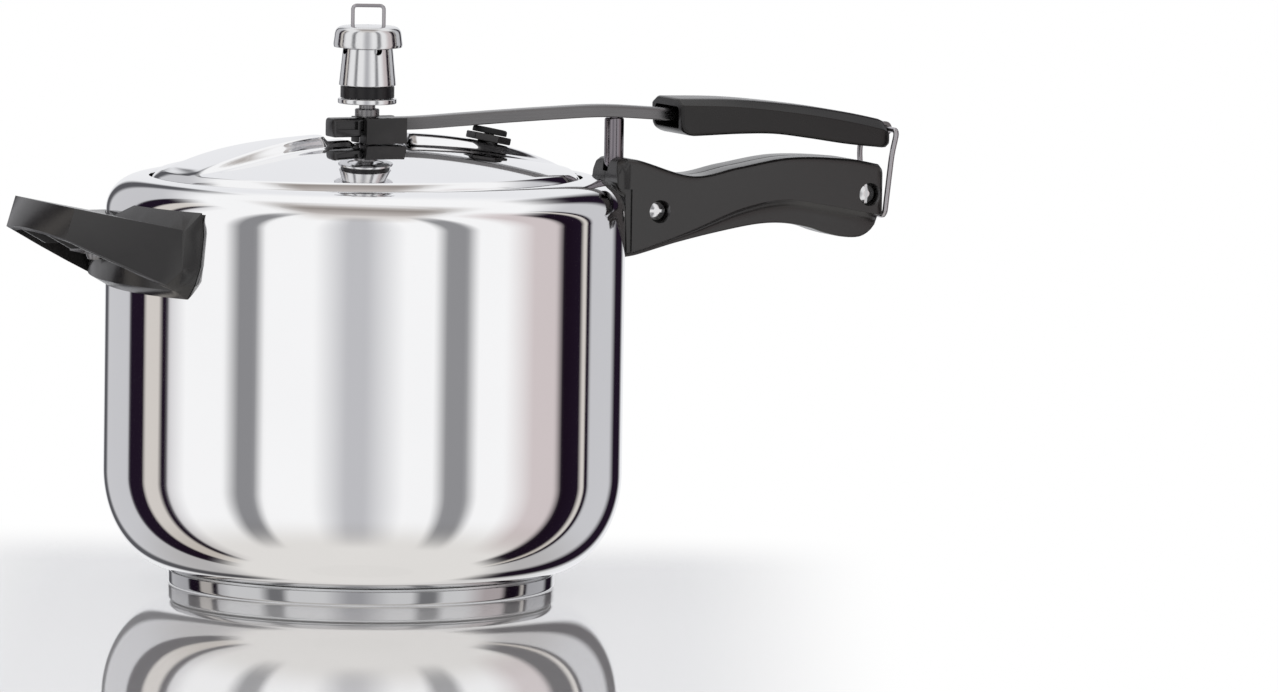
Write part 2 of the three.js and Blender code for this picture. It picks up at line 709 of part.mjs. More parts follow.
// Ridge along the dome's middle line, on one side of the bracket; its foot lies in the dome's wall.
function lidRidge(side, start) {
  const end = ridge.end * domeX;
  const spans = 5;
  const places = [start];
  for (let i = 0; i <= spans; i += 1) {
    places.push(THREE.MathUtils.lerp(start + ridge.ramp, end - ridge.ramp, i / spans));
  }
  places.push(end);
  const profile = [[1, 0], [0.8, 0.2], [0.52, 0.8], [0.32, 1]]; // shares of half-width and height
  return loft(places.map((place) => {
    const buried = place === start || place === end;
    const low = rimTop + domeLift(place / domeX) - ridge.root;
    const foot = low + ridge.root / 2;
    const height = buried ? ridge.root / 4 : ridgeLift(place) + ridge.root / 2;
    const right = profile.map(([across, up]) => [ridge.halfWidth * across, foot + up * height]);
    const section = [[ridge.halfWidth, low], ...right];
    const mirrored = section.map(([y, z]) => [-y, z]).reverse();
    return [...section, ...mirrored].map(([y, z]) => new THREE.Vector3(side * place, y, z));
  }));
}

function gasket() {
  const inner = 0.6; // outside the mouth's edge
  const outer = flangeOverlap - 0.6;
  const low = flangeTopZ + seat;
  const high = low + gasketHeight - seat;
  const slope = 1.1; // the lip falls away outwards
  const at = (out, z) => oval(mouthX + out, mouthY + out, z);
  return loft([
    at(inner, low), at(outer, low), at(outer, high - slope), at(inner, high),
  ], true);
}

// Frame on the ridge at the safety valve, with its own Z square to the crest.
const valveShare = valvePlace / domeX;
const domeSlope = 2 * domeRise * valveShare / domeX;
const valveTilt = Math.atan(domeSlope + 4 * ridge.rise * valveShare ** 3 / domeX);
const valveFrame = new THREE.Group();
valveFrame.position.set(valvePlace, 0, rimTop + domeLift(valveShare) + ridgeLift(valvePlace));
valveFrame.rotation.y = valveTilt;
cooker.add(valveFrame);
valveFrame.updateMatrixWorld(true);

function lidWithHole() {
  const bore = disc(valveStem / 2 + shankGap, -valveDrill, valveDrill, 20);
  bore.applyMatrix4(valveFrame.matrixWorld);
  const ridges = [
    lidRidge(1, bracketLength - bracketAhead + ridge.bracketGap),
    lidRidge(-1, tailLength + ridge.tailGap),
  ];
  return geometryOf(cut(joined(solid(lidShell()), ...ridges.map(solid)), solid(bore)));
}

piece('lid_shell', lidWithHole(), mirrorSteel);
piece('gasket', gasket(), rubber);

// Lever bar and its bracket

const barStations = [0.18, 0.26, 0.35, 0.45, 0.55, 0.6, 0.8, 1];
const barRises = [1.0, 1.9, 2.8, 3.4, 2.0, 1.1, -1.6, eyeZ - barCentre];
const barLine = smooth([[0, 0], [0.09, 0], ...barStations.map((share, i) => [share, barRises[i]])]);
const barMiddle = (x) => barCentre + barLine(Math.max(0, x) / eyeX);

// Side view of the bar, grown all round by a clearance.
function barOutline(grow) {
  const half = barThickness / 2 + grow;
  const steps = 16;
  const top = [];
  const under = [];
  for (let i = 0; i <= steps; i += 1) {
    const x = (i / steps) * (eyeX - 1);
    top.push([x, barMiddle(x) + half]);
    under.unshift([x, barMiddle(x) - half]);
  }
  const tail = -tailLength - grow;
  const blockEnd = -tailLength + tailBlock + grow;
  const tailLow = barUnder - tailDepth - grow;
  return outline([
    [tail, barUnder + barThickness + grow], ...top, ...under,
    [blockEnd, barUnder - grow], [blockEnd, tailLow], [tail, tailLow],
  ]);
}

function leverBar() {
  const half = barWidth / 2;
  const bar = solid(sidePlate(barOutline(0), -half, half, barBevel));
  const eye = solid(crossRod(eyeRadius, eyeX, eyeZ, -half, half, 20));
  const eyeHole = solid(crossRod(loopWire / 2 + shankGap, eyeX, eyeZ, -far, far));
  const vent = solid(disc(ventDiameter / 2 + shankGap, 0, far * 2, 24));
  const neck = solid(disc(postNeck / 2 + shankGap, 0, far * 2, 16).translate(postX, 0, 0));
  const lidScrew = solid(disc(screwDiameter / 2 + shankGap, 0, lidScrewTop + seat, 16)
    .translate(lidScrewX, 0, 0));
  const slots = [-1, 1].map((side) => {
    const x0 = -tailLength + tailSlot.end;
    const faceY = side * half;
    const yRange = side < 0 ? [faceY - 1, faceY + tailSlot.depth] : [faceY - tailSlot.depth, faceY + 1];
    const high = barUnder + barThickness - tailSlot.drop;
    return solid(block([x0, x0 + tailSlot.length], yRange, [high - tailSlot.height, high]));
  });
  return geometryOf(cut(bar.add(eye), eyeHole, vent, neck, lidScrew, ...slots));
}

function lidBracket() {
  const start = -bracketAhead;
  const end = start + bracketLength;
  const inner = barWidth / 2 + seat;
  const outer = inner + bracketPlate;
  const low = lidApex + seat;
  const floor = solid(block([start, end], [-outer, outer], [low, low + bracketFloor]));
  const plates = [-1, 1].map((side) => {
    const yRange = side < 0 ? [-outer, -inner] : [inner, outer];
    return solid(block([start, end], yRange, [low, barUnder + barThickness]));
  });
  const vent = solid(disc(ventDiameter / 2 + shankGap, 0, far * 2, 24));
  return geometryOf(joined(floor, ...plates).subtract(vent));
}

function fulcrumPost() {
  const radius = postDiameter / 2;
  const shoulder = barMiddle(postX) - barThickness / 2 - seat;
  const neckTop = shoulder + barThickness;
  const ball = [];
  const ballSteps = 5;
  for (let i = 0; i <= ballSteps; i += 1) {
    const angle = (i / ballSteps) * (Math.PI / 2);
    ball.push([radius * Math.sin(angle), postBall - radius * Math.cos(angle)]);
  }
  return turned([
    ...ball, [radius, shoulder - 0.6], [radius - 0.6, shoulder], [postNeck / 2, shoulder],
    [postNeck / 2, neckTop], [0, neckTop],
  ], 24).translate(postX, 0, 0);
}

const lidScrewX = lidHandleStart + lidScrewPlace * lidHandleLength;
const lidScrewTop = barMiddle(lidScrewX) - barThickness / 2 + lidScrewRise;

piece('lid_bracket', lidBracket(), blackSteel);
piece('lever_bar', leverBar(), darkSteel);
piece('fulcrum_post', fulcrumPost(), darkSteel);

// Vent tube, through lid, bracket and bar

const lidUnderApex = lidApex - lidWall;
const sealSag = domeRise - domeLift(ventSealDiameter / 2 / domeY);
const ventSealTop = lidUnderApex - sealSag - seat;
const ventSealLow = ventSealTop - ventSealHeight;
const ventNutTop = ventSealLow - seat;
const ventLow = lidUnderApex - ventBelow;

function ventTube() {
  const radius = ventDiameter / 2;
  const tip = 1.2; // tapered seat for the weight
  return turned([
    [ventBore / 2, ventLow], [radius, ventLow], [radius, ventTop - 2 * tip], [radius - tip, ventTop],
    [ventBore / 2, ventTop],
  ], 24);
}

function ventCollar() {
  const bore = ventDiameter / 2 + seat;
  const radius = collarDiameter / 2;
  const neck = 0.8; // waisted top
  return turned([
    [bore, collarBottom], [radius, collarBottom], [radius, collarTop - neck], [radius - neck, collarTop],
    [bore, collarTop],
  ], 24);
}

const threadBore = ventDiameter / 2 + shankGap;
const ventNutLow = ventNutTop - ventNutHeight;

piece('vent_tube', ventTube(), darkSteel);
piece('vent_collar', ventCollar(), darkSteel);
piece('vent_seal', ring(threadBore, ventSealDiameter / 2, ventSealLow, ventSealTop, 24), rubber);
piece('vent_nut', hexNut(acrossFlats(ventNutFlats), threadBore, ventNutLow, ventNutTop), mirrorSteel);

function hexNut(cornerRadius, bore, low, high) {
  const hex = solid(disc(cornerRadius, low, high, 6));
  return geometryOf(hex.subtract(solid(disc(bore, low - 1, high + 1, 20))));
}

// Safety valve, square to the dome

function valveBody() {
  const hex = solid(disc(acrossFlats(valveFlats), seat, seat + valveHexHeight, 6));
  const stem = solid(disc(valveStem / 2, valveStemLow, seat + 1, 20));
  const bore = solid(disc(plugDiameter / 2 + seat, valveStemLow - 1, far, 16));
  return geometryOf(hex.add(stem).subtract(bore));
}

const valveSag = (valveSeal.diameter / 2) * Math.tan(valveTilt - Math.atan(domeSlope));
const valveSealTop = -lidWall - ridgeLift(valvePlace) - valveSag - seat;
const valveNutTop = valveSealTop - valveSeal.height - seat;
const valveNutLow = valveNutTop - valveNutHeight;
const valveStemLow = valveNutLow - 1;
const valveCapLow = 2 * seat + valveHexHeight;
const valveCapTop = valveCapLow + valveCap.height;
const stemBore = valveStem / 2 + shankGap;

function valveTop() {
  const radius = valveCap.diameter / 2;
  const round = 1.2;
  const bore = plugDiameter / 2 + seat;
  return turned([
    [bore, valveCapLow], [radius, valveCapLow], [radius, valveCapTop - round], [radius - round, valveCapTop],
    [bore, valveCapTop],
  ], 24);
}

piece('safety_valve_body', valveBody(), blackSteel, valveFrame);
piece('safety_valve_cap', valveTop(), rubber, valveFrame);
piece('fusible_plug', disc(plugDiameter / 2, valveStemLow, valveCapTop - seat, 16), fusibleAlloy, valveFrame);
piece(
  'safety_valve_seal',
  ring(stemBore, valveSeal.diameter / 2, valveSealTop - valveSeal.height, valveSealTop, 24),
  rubber,
  valveFrame,
);
piece(
  'safety_valve_nut',
  hexNut(acrossFlats(valveFlats), stemBore, valveNutLow, valveNutTop),
  mirrorSteel,
  valveFrame,
);

// Lid handle

const lidHandleTop = smooth(lidTopLine);
const lidHandleUnder = smooth(lidUnderLine);
const lidStations = [0, 0.03, 0.06, 0.17, 0.29, 0.4, 0.5, 0.62, 0.72, 0.82, 0.91, 0.975, 1];

function lidHandleSection(along) {
  const x = lidHandleStart + along * lidHandleLength;
  const taper = along > 0.98 ? 0.8 : 0; // rounded end
  const half = THREE.MathUtils.lerp(lidHandleFrontWidth, lidHandleEndWidth, along) / 2 - taper;
  const top = bodyHeight + lidHandleTop(along) - taper;
  const under = bodyHeight + lidHandleUnder(along) + taper;
  const shoulder = THREE.MathUtils.lerp(2, 5, along);
  const round = 2.4;
  const right = [
    [half - 4.5, top], [half - 0.6, top - shoulder], [half, top - shoulder - 1.4],
    [half, under + round], [half - round, under],
  ];
  const left = right.map(([y, z]) => [-y, z]).reverse();
  return [...right, ...left].map(([y, z]) => new THREE.Vector3(x, y, z));
}

function lidHandle() {
  const body = solid(loft(lidStations.map(lidHandleSection)));
  const inner = lidHandleFrontWidth / 2 - lidHandleWall;
  const mouthLow = bodyHeight + lidHandleUnder(0) + lidHandleWall;
  const mouthHigh = bodyHeight + lidHandleTop(0.12) - lidHandleWall;
  const mouth = solid(block(
    [lidHandleStart - 1, lidHandleStart + lidMouthDepth], [-inner, inner], [mouthLow, mouthHigh],
  ));
  const channel = solid(sidePlate(barOutline(seat), -barWidth / 2 - seat, barWidth / 2 + seat));
  const screwHole = solid(disc(screwDiameter / 2 + shankGap, 0, lidScrewTop, 16).translate(lidScrewX, 0, 0));
  const headHole = solid(disc(screwHead.recess / 2, 0, lidScrewBed, 20).translate(lidScrewX, 0, 0));
  return geometryOf(cut(body, mouth, channel, screwHole, headHole));
}

const lidScrewBed = bodyHeight + lidHandleUnder(lidScrewPlace) + screwHead.height + 1;

function lidHandleScrew() {
  const bed = lidScrewBed - seat;
  const head = screwHead.diameter / 2;
  const shank = screwDiameter / 2;
  return turned([
    [0, bed - screwHead.height], [head - 0.8, bed - screwHead.height], [head, bed - 0.8], [head, bed],
    [shank, bed], [shank, lidScrewTop], [0, lidScrewTop],
  ], 20).translate(lidScrewX, 0, 0);
}

piece('lid_handle', lidHandle(), phenolic);
piece('lid_handle_screw', lidHandleScrew(), mirrorSteel);

// Weight on the vent tube

const ringLow = collarTop + weightGap;
const ringTop = ringLow + weightRing.height;
const bandLow = ringTop + seat;
const bandTop = bandLow + weightBand.height;
const sleeveLow = bandTop + seat;
const sleeveTop = sleeveLow + weightSleeve.height;
const capLow = sleeveTop + seat;
const capTop = capLow + weightCap.height;
const coreRadius = weightCoreDiameter / 2;
const coreBore = coreRadius + seat;

function weightCore() {
  const bore = ventDiameter / 2 + shankGap;
  const roof = ventTop + seat;
  return turned([
    [bore, ringLow + 0.4], [coreRadius, ringLow + 0.4], [coreRadius, sleeveTop], [0, sleeveTop],
    [0, roof], [bore, roof],
  ].reverse(), 28);
}

function sleeve() {
  const top = weightSleeve.top / 2;
  const bottom = weightSleeve.bottom / 2;
  const wall = weightSleeve.wall;
  const ledge = sleeveLow + 2;
  const shell = solid(turned([
    [coreBore, sleeveLow], [bottom, sleeveLow], [top, sleeveTop], [top - wall, sleeveTop],
    [bottom - wall, ledge], [coreBore, ledge],
  ], 32));
  const z = sleeveTop - steamHole.drop;
  const holes = [];
  for (let i = 0; i < steamHole.count; i += 1) {
    const turn = THREE.MathUtils.degToRad(steamHole.turn + (i * 360) / steamHole.count);
    const drill = crossRod(steamHole.diameter / 2, 0, z, -bottom - 1, -coreRadius, 14);
    holes.push(solid(drill.rotateZ(turn + Math.PI / 2)));
  }
  return geometryOf(cut(shell, ...holes));
}

const bailTurn = THREE.MathUtils.degToRad(bail.turn);

function bellCap() {
  const radius = weightCap.diameter / 2;
  const skirt = 0.9; // the bell widens a little downwards
  const points = [[0, capLow], [radius, capLow]];
  const arcSteps = 5;
  const centreR = radius - skirt - weightCap.round;
  const centreZ = capTop - weightCap.crown - weightCap.round;
  for (let i = 0; i <= arcSteps; i += 1) {
    const angle = (i / arcSteps) * (Math.PI / 2);
    points.push([centreR + weightCap.round * Math.cos(angle), centreZ + weightCap.round * Math.sin(angle)]);
  }
  points.push([0, capTop]);
  const holes = [-1, 1].map((side) => solid(
    disc(bail.wire / 2 + shankGap, bailFoot - seat, far * 2, 12)
      .translate(side * bailHalf, 0, 0).rotateZ(bailTurn),
  ));
  return geometryOf(cut(solid(turned(points, 32)), ...holes));
}

const bailHalf = (bail.width - bail.wire) / 2;
const bailFoot = capTop - weightCap.crown - bail.depth;

function wireBail() {
  const top = capTop + bail.height - bail.wire / 2;
  const corners = [[-1, bailFoot], [-1, top], [1, top], [1, bailFoot]];
  const points = corners.map(([side, z]) => new THREE.Vector3(side * bailHalf, 0, z));
  return bentWire(points, bail.bend, bail.wire, 20).rotateZ(bailTurn);
}

piece('weight_core', weightCore(), mirrorSteel);
piece('weight_base_ring', ring(coreBore, weightRing.diameter / 2, ringLow, ringTop, 32), mirrorSteel);
piece('weight_band', ring(coreBore, weightBand.diameter / 2, bandLow, bandTop, 32), blackSteel);
piece('weight_sleeve', sleeve(), mirrorSteel);
piece('weight_cap', bellCap(), mirrorSteel);
piece('weight_bail', wireBail(), mirrorSteel);

// Locking loop: one wire whose ends meet in the eye

function lockingLoop() {
  const lowX = handleEnd + loopGap + loopWire / 2;
  const half = [
    [eyeX, loopSplit, eyeZ], [eyeX, loopHalf.top, eyeZ],
    [eyeX - loopKnee.inset, loopHalf.knee, eyeZ - loopKnee.drop], [lowX, loopHalf.low, eyeZ - loopDrop],
  ];
  const other = half.map(([x, y, z]) => [x, -y, z]).reverse();
  return bentWire([...half, ...other].map((point) => new THREE.Vector3(...point)), loopBend, loopWire, 60);
}

piece('locking_loop', lockingLoop(), darkSteel);

export default cooker;
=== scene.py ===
from math import asin, atan, atan2, cos, hypot, pi, radians, sin, sqrt, tan

import bmesh
import bpy
from mathutils import Matrix, Vector


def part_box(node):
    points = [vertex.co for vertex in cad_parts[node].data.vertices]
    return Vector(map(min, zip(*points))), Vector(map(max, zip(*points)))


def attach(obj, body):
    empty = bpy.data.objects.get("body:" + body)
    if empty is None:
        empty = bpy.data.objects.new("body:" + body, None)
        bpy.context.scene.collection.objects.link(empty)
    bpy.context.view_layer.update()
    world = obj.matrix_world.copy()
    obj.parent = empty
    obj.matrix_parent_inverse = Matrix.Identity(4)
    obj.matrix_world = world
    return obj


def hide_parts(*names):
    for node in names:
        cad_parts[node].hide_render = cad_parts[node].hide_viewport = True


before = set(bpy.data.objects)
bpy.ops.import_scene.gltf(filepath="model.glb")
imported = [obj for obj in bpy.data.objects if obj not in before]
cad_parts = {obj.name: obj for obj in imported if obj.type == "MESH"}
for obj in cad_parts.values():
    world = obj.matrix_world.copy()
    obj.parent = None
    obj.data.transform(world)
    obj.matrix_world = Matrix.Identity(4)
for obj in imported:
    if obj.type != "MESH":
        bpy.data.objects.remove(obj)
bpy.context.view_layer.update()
scene = bpy.context.scene
mm = 0.001  # lengths below are in millimetres
joint = 0.15  # half of the gap between two faces that touch


def boxOf(node):
    low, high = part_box(node)
    return low / mm, high / mm


def smoothLine(points):
    places = [point[0] for point in points]
    values = [point[1] for point in points]
    last = len(points) - 1
    slopes = []
    for i in range(last + 1):
        a = max(i - 1, 0)
        b = min(i + 1, last)
        slopes.append((values[b] - values[a]) / (places[b] - places[a]))

    def at(place):
        place = min(max(place, places[0]), places[last])
        i = max(k for k in range(last) if places[k] <= place)
        span = places[i + 1] - places[i]
        t = (place - places[i]) / span
        start = (1 + 2 * t) * (1 - t) ** 2 * values[i] + t * (1 - t) ** 2 * span * slopes[i]
        end = t * t * (3 - 2 * t) * values[i + 1] + t * t * (t - 1) * span * slopes[i + 1]
        return start + end

    return at


def mix(a, b, t):
    return a + (b - a) * t


def curved(start, middle, end, steps, first=0):
    shares = [k / steps for k in range(first, steps + 1)]
    return [start * (1 - t) ** 2 + middle * (2 * t * (1 - t)) + end * t * t for t in shares]


def circle(radius, sides):
    turns = [2 * pi * i / sides for i in range(sides)]
    return [(radius * cos(t), radius * sin(t)) for t in turns]


def rounded(corners, steps=6):
    # corners are (a, b, rounding) in order; rounding 0 keeps the corner
    outline = []
    count = len(corners)
    for i, (a, b, radius) in enumerate(corners):
        here = Vector((a, b))
        before = Vector(corners[i - 1][:2]) - here
        after = Vector(corners[(i + 1) % count][:2]) - here
        if radius == 0 or before.length == 0 or after.length == 0:
            outline.append(here)
            continue
        reach = radius / tan(max(before.angle(after), 0.2) / 2)
        reach = min(reach, 0.48 * before.length, 0.48 * after.length)
        start = here + before.normalized() * reach
        end = here + after.normalized() * reach
        outline += curved(start, here, end, steps)
    return outline


def linked(name, data):
    thing = bpy.data.objects.new(name, data)
    scene.collection.objects.link(thing)
    return thing


def cleaned(mesh, flatAngle=0):
    # with a flat angle, faces that lie nearly in one plane become one
    work = bmesh.new()
    work.from_mesh(mesh)
    bmesh.ops.remove_doubles(work, verts=work.verts, dist=1e-6)
    if flatAngle:
        limit = radians(flatAngle)
        bmesh.ops.dissolve_limit(work, angle_limit=limit, verts=work.verts, edges=work.edges)
    else:
        bmesh.ops.dissolve_degenerate(work, edges=work.edges, dist=1e-7)
    bmesh.ops.recalc_face_normals(work, faces=work.faces)
    work.to_mesh(mesh)
    work.free()
    for face in mesh.polygons:
        face.use_smooth = True


def tidied(mesh, sharp=35):
    cleaned(mesh)
    mesh.set_sharp_from_angle(angle=radians(sharp))
    return mesh


def newMesh(name, points, faces=()):
    mesh = bpy.data.meshes.new(name)
    mesh.from_pydata([Vector(point) * mm for point in points], [], faces)
    return mesh


def meshObject(name, points, faces, sharp=35):
    return linked(name, tidied(newMesh(name, points, faces), sharp))


def lofted(name, rings, sharp=35):
    count = len(rings[0])
    points = [point for ring in rings for point in ring]
    faces = []
    for r in range(len(rings) - 1):
        for i in range(count):
            j = (i + 1) % count
            faces.append((r * count + i, r * count + j, (r + 1) * count + j, (r + 1) * count + i))
    faces.append(tuple(reversed(range(count))))
    faces.append(tuple(range((len(rings) - 1) * count, len(rings) * count)))
    return meshObject(name, points, faces, sharp)


def plate(name, outline, low, high, axis="Y", sharp=35):
    place = {
        "X": lambda a, b, c: (c, a, b),
        "Y": lambda a, b, c: (a, c, b),
        "Z": lambda a, b, c: (a, b, c),
    }[axis]
    return lofted(name, [[place(a, b, c) for a, b in outline] for c in (low, high)], sharp)


def rod(name, radius, low, high, axis="Z", at=(0, 0), sides=48):
    outline = [(at[0] + a, at[1] + b) for a, b in circle(radius, sides)]
    return plate(name, outline, low, high, axis)


def block(name, xs, ys, zs):
    outline = [(xs[0], zs[0]), (xs[1], zs[0]), (xs[1], zs[1]), (xs[0], zs[1])]
    return plate(name, outline, ys[0], ys[1])


def solvedMesh(thing):
    bpy.context.view_layer.update()
    solved = thing.evaluated_get(bpy.context.evaluated_depsgraph_get())
    return bpy.data.meshes.new_from_object(solved)


def baked(piece, tools=(), sharp=35):
    mesh = solvedMesh(piece)
    piece.modifiers.clear()
    piece.data = mesh
    for tool in tools:
        bpy.data.objects.remove(tool)
    if sharp:
        tidied(mesh, sharp)
    return piece


def combined(piece, tools, operation, sharp):
    for tool in tools:
        step = piece.modifiers.new("combine", "BOOLEAN")
        step.operation = operation
        step.solver = "EXACT"
        step.object = tool
    return baked(piece, tools, sharp)


def carved(piece, *tools, sharp=35):
    return combined(piece, tools, "DIFFERENCE", sharp)


def joined(piece, *others):
    return combined(piece, others, "UNION", 35)


def softened(node, name, width, angle=28):
    # a copy of a CAD node with its edges rounded
    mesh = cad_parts[node].data.copy()
    mesh.materials.clear()
    cleaned(mesh, 0.8)
    thing = linked(name, mesh)
    edge = thing.modifiers.new("edges", "BEVEL")
    edge.width = width * mm
    edge.segments = 3
    edge.limit_method = "ANGLE"
    edge.angle_limit = radians(angle)
    edge.harden_normals = True
    baked(thing, sharp=0)
    return thing


def settle(piece, finish, slotName, body, *nodes):
    piece.data.materials.clear()
    piece.data.materials.append(finish)
    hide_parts(*nodes)
    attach(piece, body)
    return piece


def pieceName(node):
    first, *rest = node.split("_")
    return first + "".join(word.title() for word in rest)


def dressed(node, width, finish, slotName, body):
    # the CAD node itself, with its edges rounded
    return settle(softened(node, pieceName(node), width), finish, slotName, body, node)


# Geometry Nodes trees

def newTree(name, inputs):
    tree = bpy.data.node_groups.new(name, "GeometryNodeTree")
    for label, kind in inputs:
        tree.interface.new_socket(label, in_out="INPUT", socket_type="NodeSocket" + kind)
    tree.interface.new_socket("Piece", in_out="OUTPUT", socket_type="NodeSocketGeometry")
    return tree, tree.nodes.new("NodeGroupInput").outputs, tree.nodes.new("NodeGroupOutput")


def addNode(tree, kind, links=(), values=(), **settings):
    made = tree.nodes.new(kind)
    for key, value in settings.items():
        setattr(made, key, value)
    for key, value in dict(values).items():
        made.inputs[key].default_value = value
    for key, source in dict(links).items():
        tree.links.new(source, made.inputs[key])
    return made


def flow(tree, kind, links=(), values=(), **settings):
    return addNode(tree, kind, links, values, **settings).outputs[0]


def split(tree, vector):
    return addNode(tree, "ShaderNodeSeparateXYZ", {"Vector": vector}).outputs


def objectPlace(tree):
    return tree.nodes.new("ShaderNodeTexCoord").outputs["Object"]


def sums(tree, operation, *terms):
    made = tree.nodes.new("ShaderNodeMath")
    made.operation = operation
    for i, term in enumerate(terms):
        if isinstance(term, (int, float)):
            made.inputs[i].default_value = term
        else:
            tree.links.new(term, made.inputs[i])
    return made.outputs[0]


def times(tree, first, second):
    return sums(tree, "MULTIPLY", first, second)


def finishTree(tree, geometry, into, end):
    real = flow(tree, "GeometryNodeRealizeInstances", {"Geometry": geometry})
    shade = flow(tree, "GeometryNodeSetShadeSmooth", {"Geometry": real})
    paint = flow(tree, "GeometryNodeSetMaterial", {"Geometry": shade, "Material": into["Finish"]})
    tree.links.new(paint, end.inputs["Piece"])


def spinTree():
    # turns a row of points, each (half-width in X, half-width in Y, height), round Z
    tree, into, end = newTree("Spin profile", [
        ("Profile", "Geometry"), ("Sides", "Int"), ("Crowd", "Float"), ("Weld", "Float"),
        ("Finish", "Material"),
    ])
    count = flow(tree, "GeometryNodeAttributeDomainSize", {"Geometry": into["Profile"]}, component="MESH")
    columns = sums(tree, "ADD", into["Sides"], 1)
    grid = flow(tree, "GeometryNodeMeshGrid", {"Vertices X": columns, "Vertices Y": count})
    index = tree.nodes.new("GeometryNodeInputIndex").outputs[0]
    column = sums(tree, "FLOOR", sums(tree, "DIVIDE", sums(tree, "ADD", index, 0.5), count))
    row = sums(tree, "SUBTRACT", index, times(tree, column, count))
    even = times(tree, sums(tree, "DIVIDE", column, into["Sides"]), 2 * pi)
    sway = times(tree, sums(tree, "SINE", times(tree, even, 2)), into["Crowd"])
    turn = sums(tree, "SUBTRACT", even, sums(tree, "DIVIDE", sway, 2))  # crowd draws the columns towards X
    place = tree.nodes.new("GeometryNodeInputPosition").outputs[0]
    point = flow(
        tree, "GeometryNodeSampleIndex",
        {"Geometry": into["Profile"], "Value": place, "Index": row}, data_type="FLOAT_VECTOR",
    )
    parts = split(tree, point)
    across = times(tree, parts["X"], sums(tree, "COSINE", turn))
    along = times(tree, parts["Y"], sums(tree, "SINE", turn))
    where = flow(tree, "ShaderNodeCombineXYZ", {"X": across, "Y": along, "Z": parts["Z"]})
    moved = flow(tree, "GeometryNodeSetPosition", {"Geometry": grid, "Position": where})
    welded = flow(tree, "GeometryNodeMergeByDistance", {"Geometry": moved, "Distance": into["Weld"]})
    finishTree(tree, welded, into, end)
    return tree


def copiesTree():
    # one copy of a made piece at each point, turned by the point's own angle
    tree, into, end = newTree("Copies at points", [
        ("Points", "Geometry"), ("Original", "Object"), ("Finish", "Material"),
    ])
    source = addNode(tree, "GeometryNodeObjectInfo", {"Object": into["Original"]})
    named = flow(tree, "GeometryNodeInputNamedAttribute", values={"Name": "turn"}, data_type="FLOAT_VECTOR")
    copies = flow(tree, "GeometryNodeInstanceOnPoints", {
        "Points": into["Points"], "Instance": source.outputs["Geometry"],
        "Rotation": named,
    })
    finishTree(tree, copies, into, end)
    return tree


def drillTree():
    # round holes in a ring, bored sideways into a piece
    tree, into, end = newTree("Ring of holes", [
        ("Stock", "Geometry"), ("Count", "Int"), ("Hole radius", "Float"), ("Ring radius", "Float"),
        ("Depth", "Float"), ("Height", "Float"), ("Start", "Float"), ("Finish", "Material"),
    ])
    row = flow(tree, "GeometryNodeMeshLine", {"Count": into["Count"]})
    index = tree.nodes.new("GeometryNodeInputIndex").outputs[0]
    step = sums(tree, "DIVIDE", 2 * pi, into["Count"])
    turn = sums(tree, "ADD", times(tree, index, step), into["Start"])
    where = flow(tree, "ShaderNodeCombineXYZ", {
        "X": times(tree, sums(tree, "COSINE", turn), into["Ring radius"]),
        "Y": times(tree, sums(tree, "SINE", turn), into["Ring radius"]),
        "Z": into["Height"],
    })
    placed = flow(tree, "GeometryNodeSetPosition", {"Geometry": row, "Position": where})
    drill = flow(
        tree, "GeometryNodeMeshCylinder",
        {"Radius": into["Hole radius"], "Depth": into["Depth"]}, {"Vertices": 32},
    )
    aim = flow(tree, "ShaderNodeCombineXYZ", {"Z": turn}, {"Y": pi / 2})
    drills = flow(tree, "GeometryNodeInstanceOnPoints", {
        "Points": placed, "Instance": drill, "Rotation": aim,
    })
    solid = flow(tree, "GeometryNodeRealizeInstances", {"Geometry": drills})
    bored = flow(
        tree, "GeometryNodeMeshBoolean",
        {"Mesh 1": into["Stock"], "Mesh 2": solid}, operation="DIFFERENCE",
    )
    finishTree(tree, bored, into, end)
    return tree


def grown(piece, tree, values, sharp=35):
    step = piece.modifiers.new("nodes", "NODES")
    step.node_group = tree
    for item in tree.interface.items_tree:
        if item.in_out == "INPUT" and item.name in values:
            step[item.identifier] = values[item.name]
    return baked(piece, sharp=sharp)


spinNodes = spinTree()
copiesNodes = copiesTree()
drillNodes = drillTree()


def spun(name, profile, finish, sides=128, sharp=35, crowd=0.0):
    # profile points are (x half-width, y half-width, height)
    values = {"Sides": sides, "Crowd": crowd, "Weld": 2e-6, "Finish": finish}
    return grown(linked(name, newMesh(name, profile)), spinNodes, values, sharp)


def turnedPiece(name, corners, finish, sides=96, closed=False, steps=6):
    outline = rounded(corners, steps)
    if closed:
        outline.append(outline[0])
    return spun(name, [(r, r, z) for r, z in outline], finish, sides)


def moved(piece, matrix):
    shift = matrix.copy()
    shift.translation = shift.translation * mm
    piece.data.transform(shift)
    return piece


def turned(node, corners, finish, slotName, body, sides=96, closed=True, steps=6):
    piece = turnedPiece(pieceName(node), corners, finish, sides, closed, steps)
    return settle(piece, finish, slotName, body, node)


def wire(name, path, radius, closed=False):
    curve = bpy.data.curves.new(name, "CURVE")
    curve.dimensions = "3D"
    curve.bevel_depth = radius * mm
    curve.bevel_resolution = 6
    curve.use_fill_caps = True
    line = curve.splines.new("POLY")
    line.points.add(len(path) - 1)
    for spot, point in zip(line.points, path):
        spot.co = (*(Vector(point) * mm), 1)
    line.use_cyclic_u = closed
    helper = linked(name + "Path", curve)
    mesh = solvedMesh(helper)
    bpy.data.objects.remove(helper)
    bpy.data.curves.remove(curve)
    return linked(name, tidied(mesh, 50))


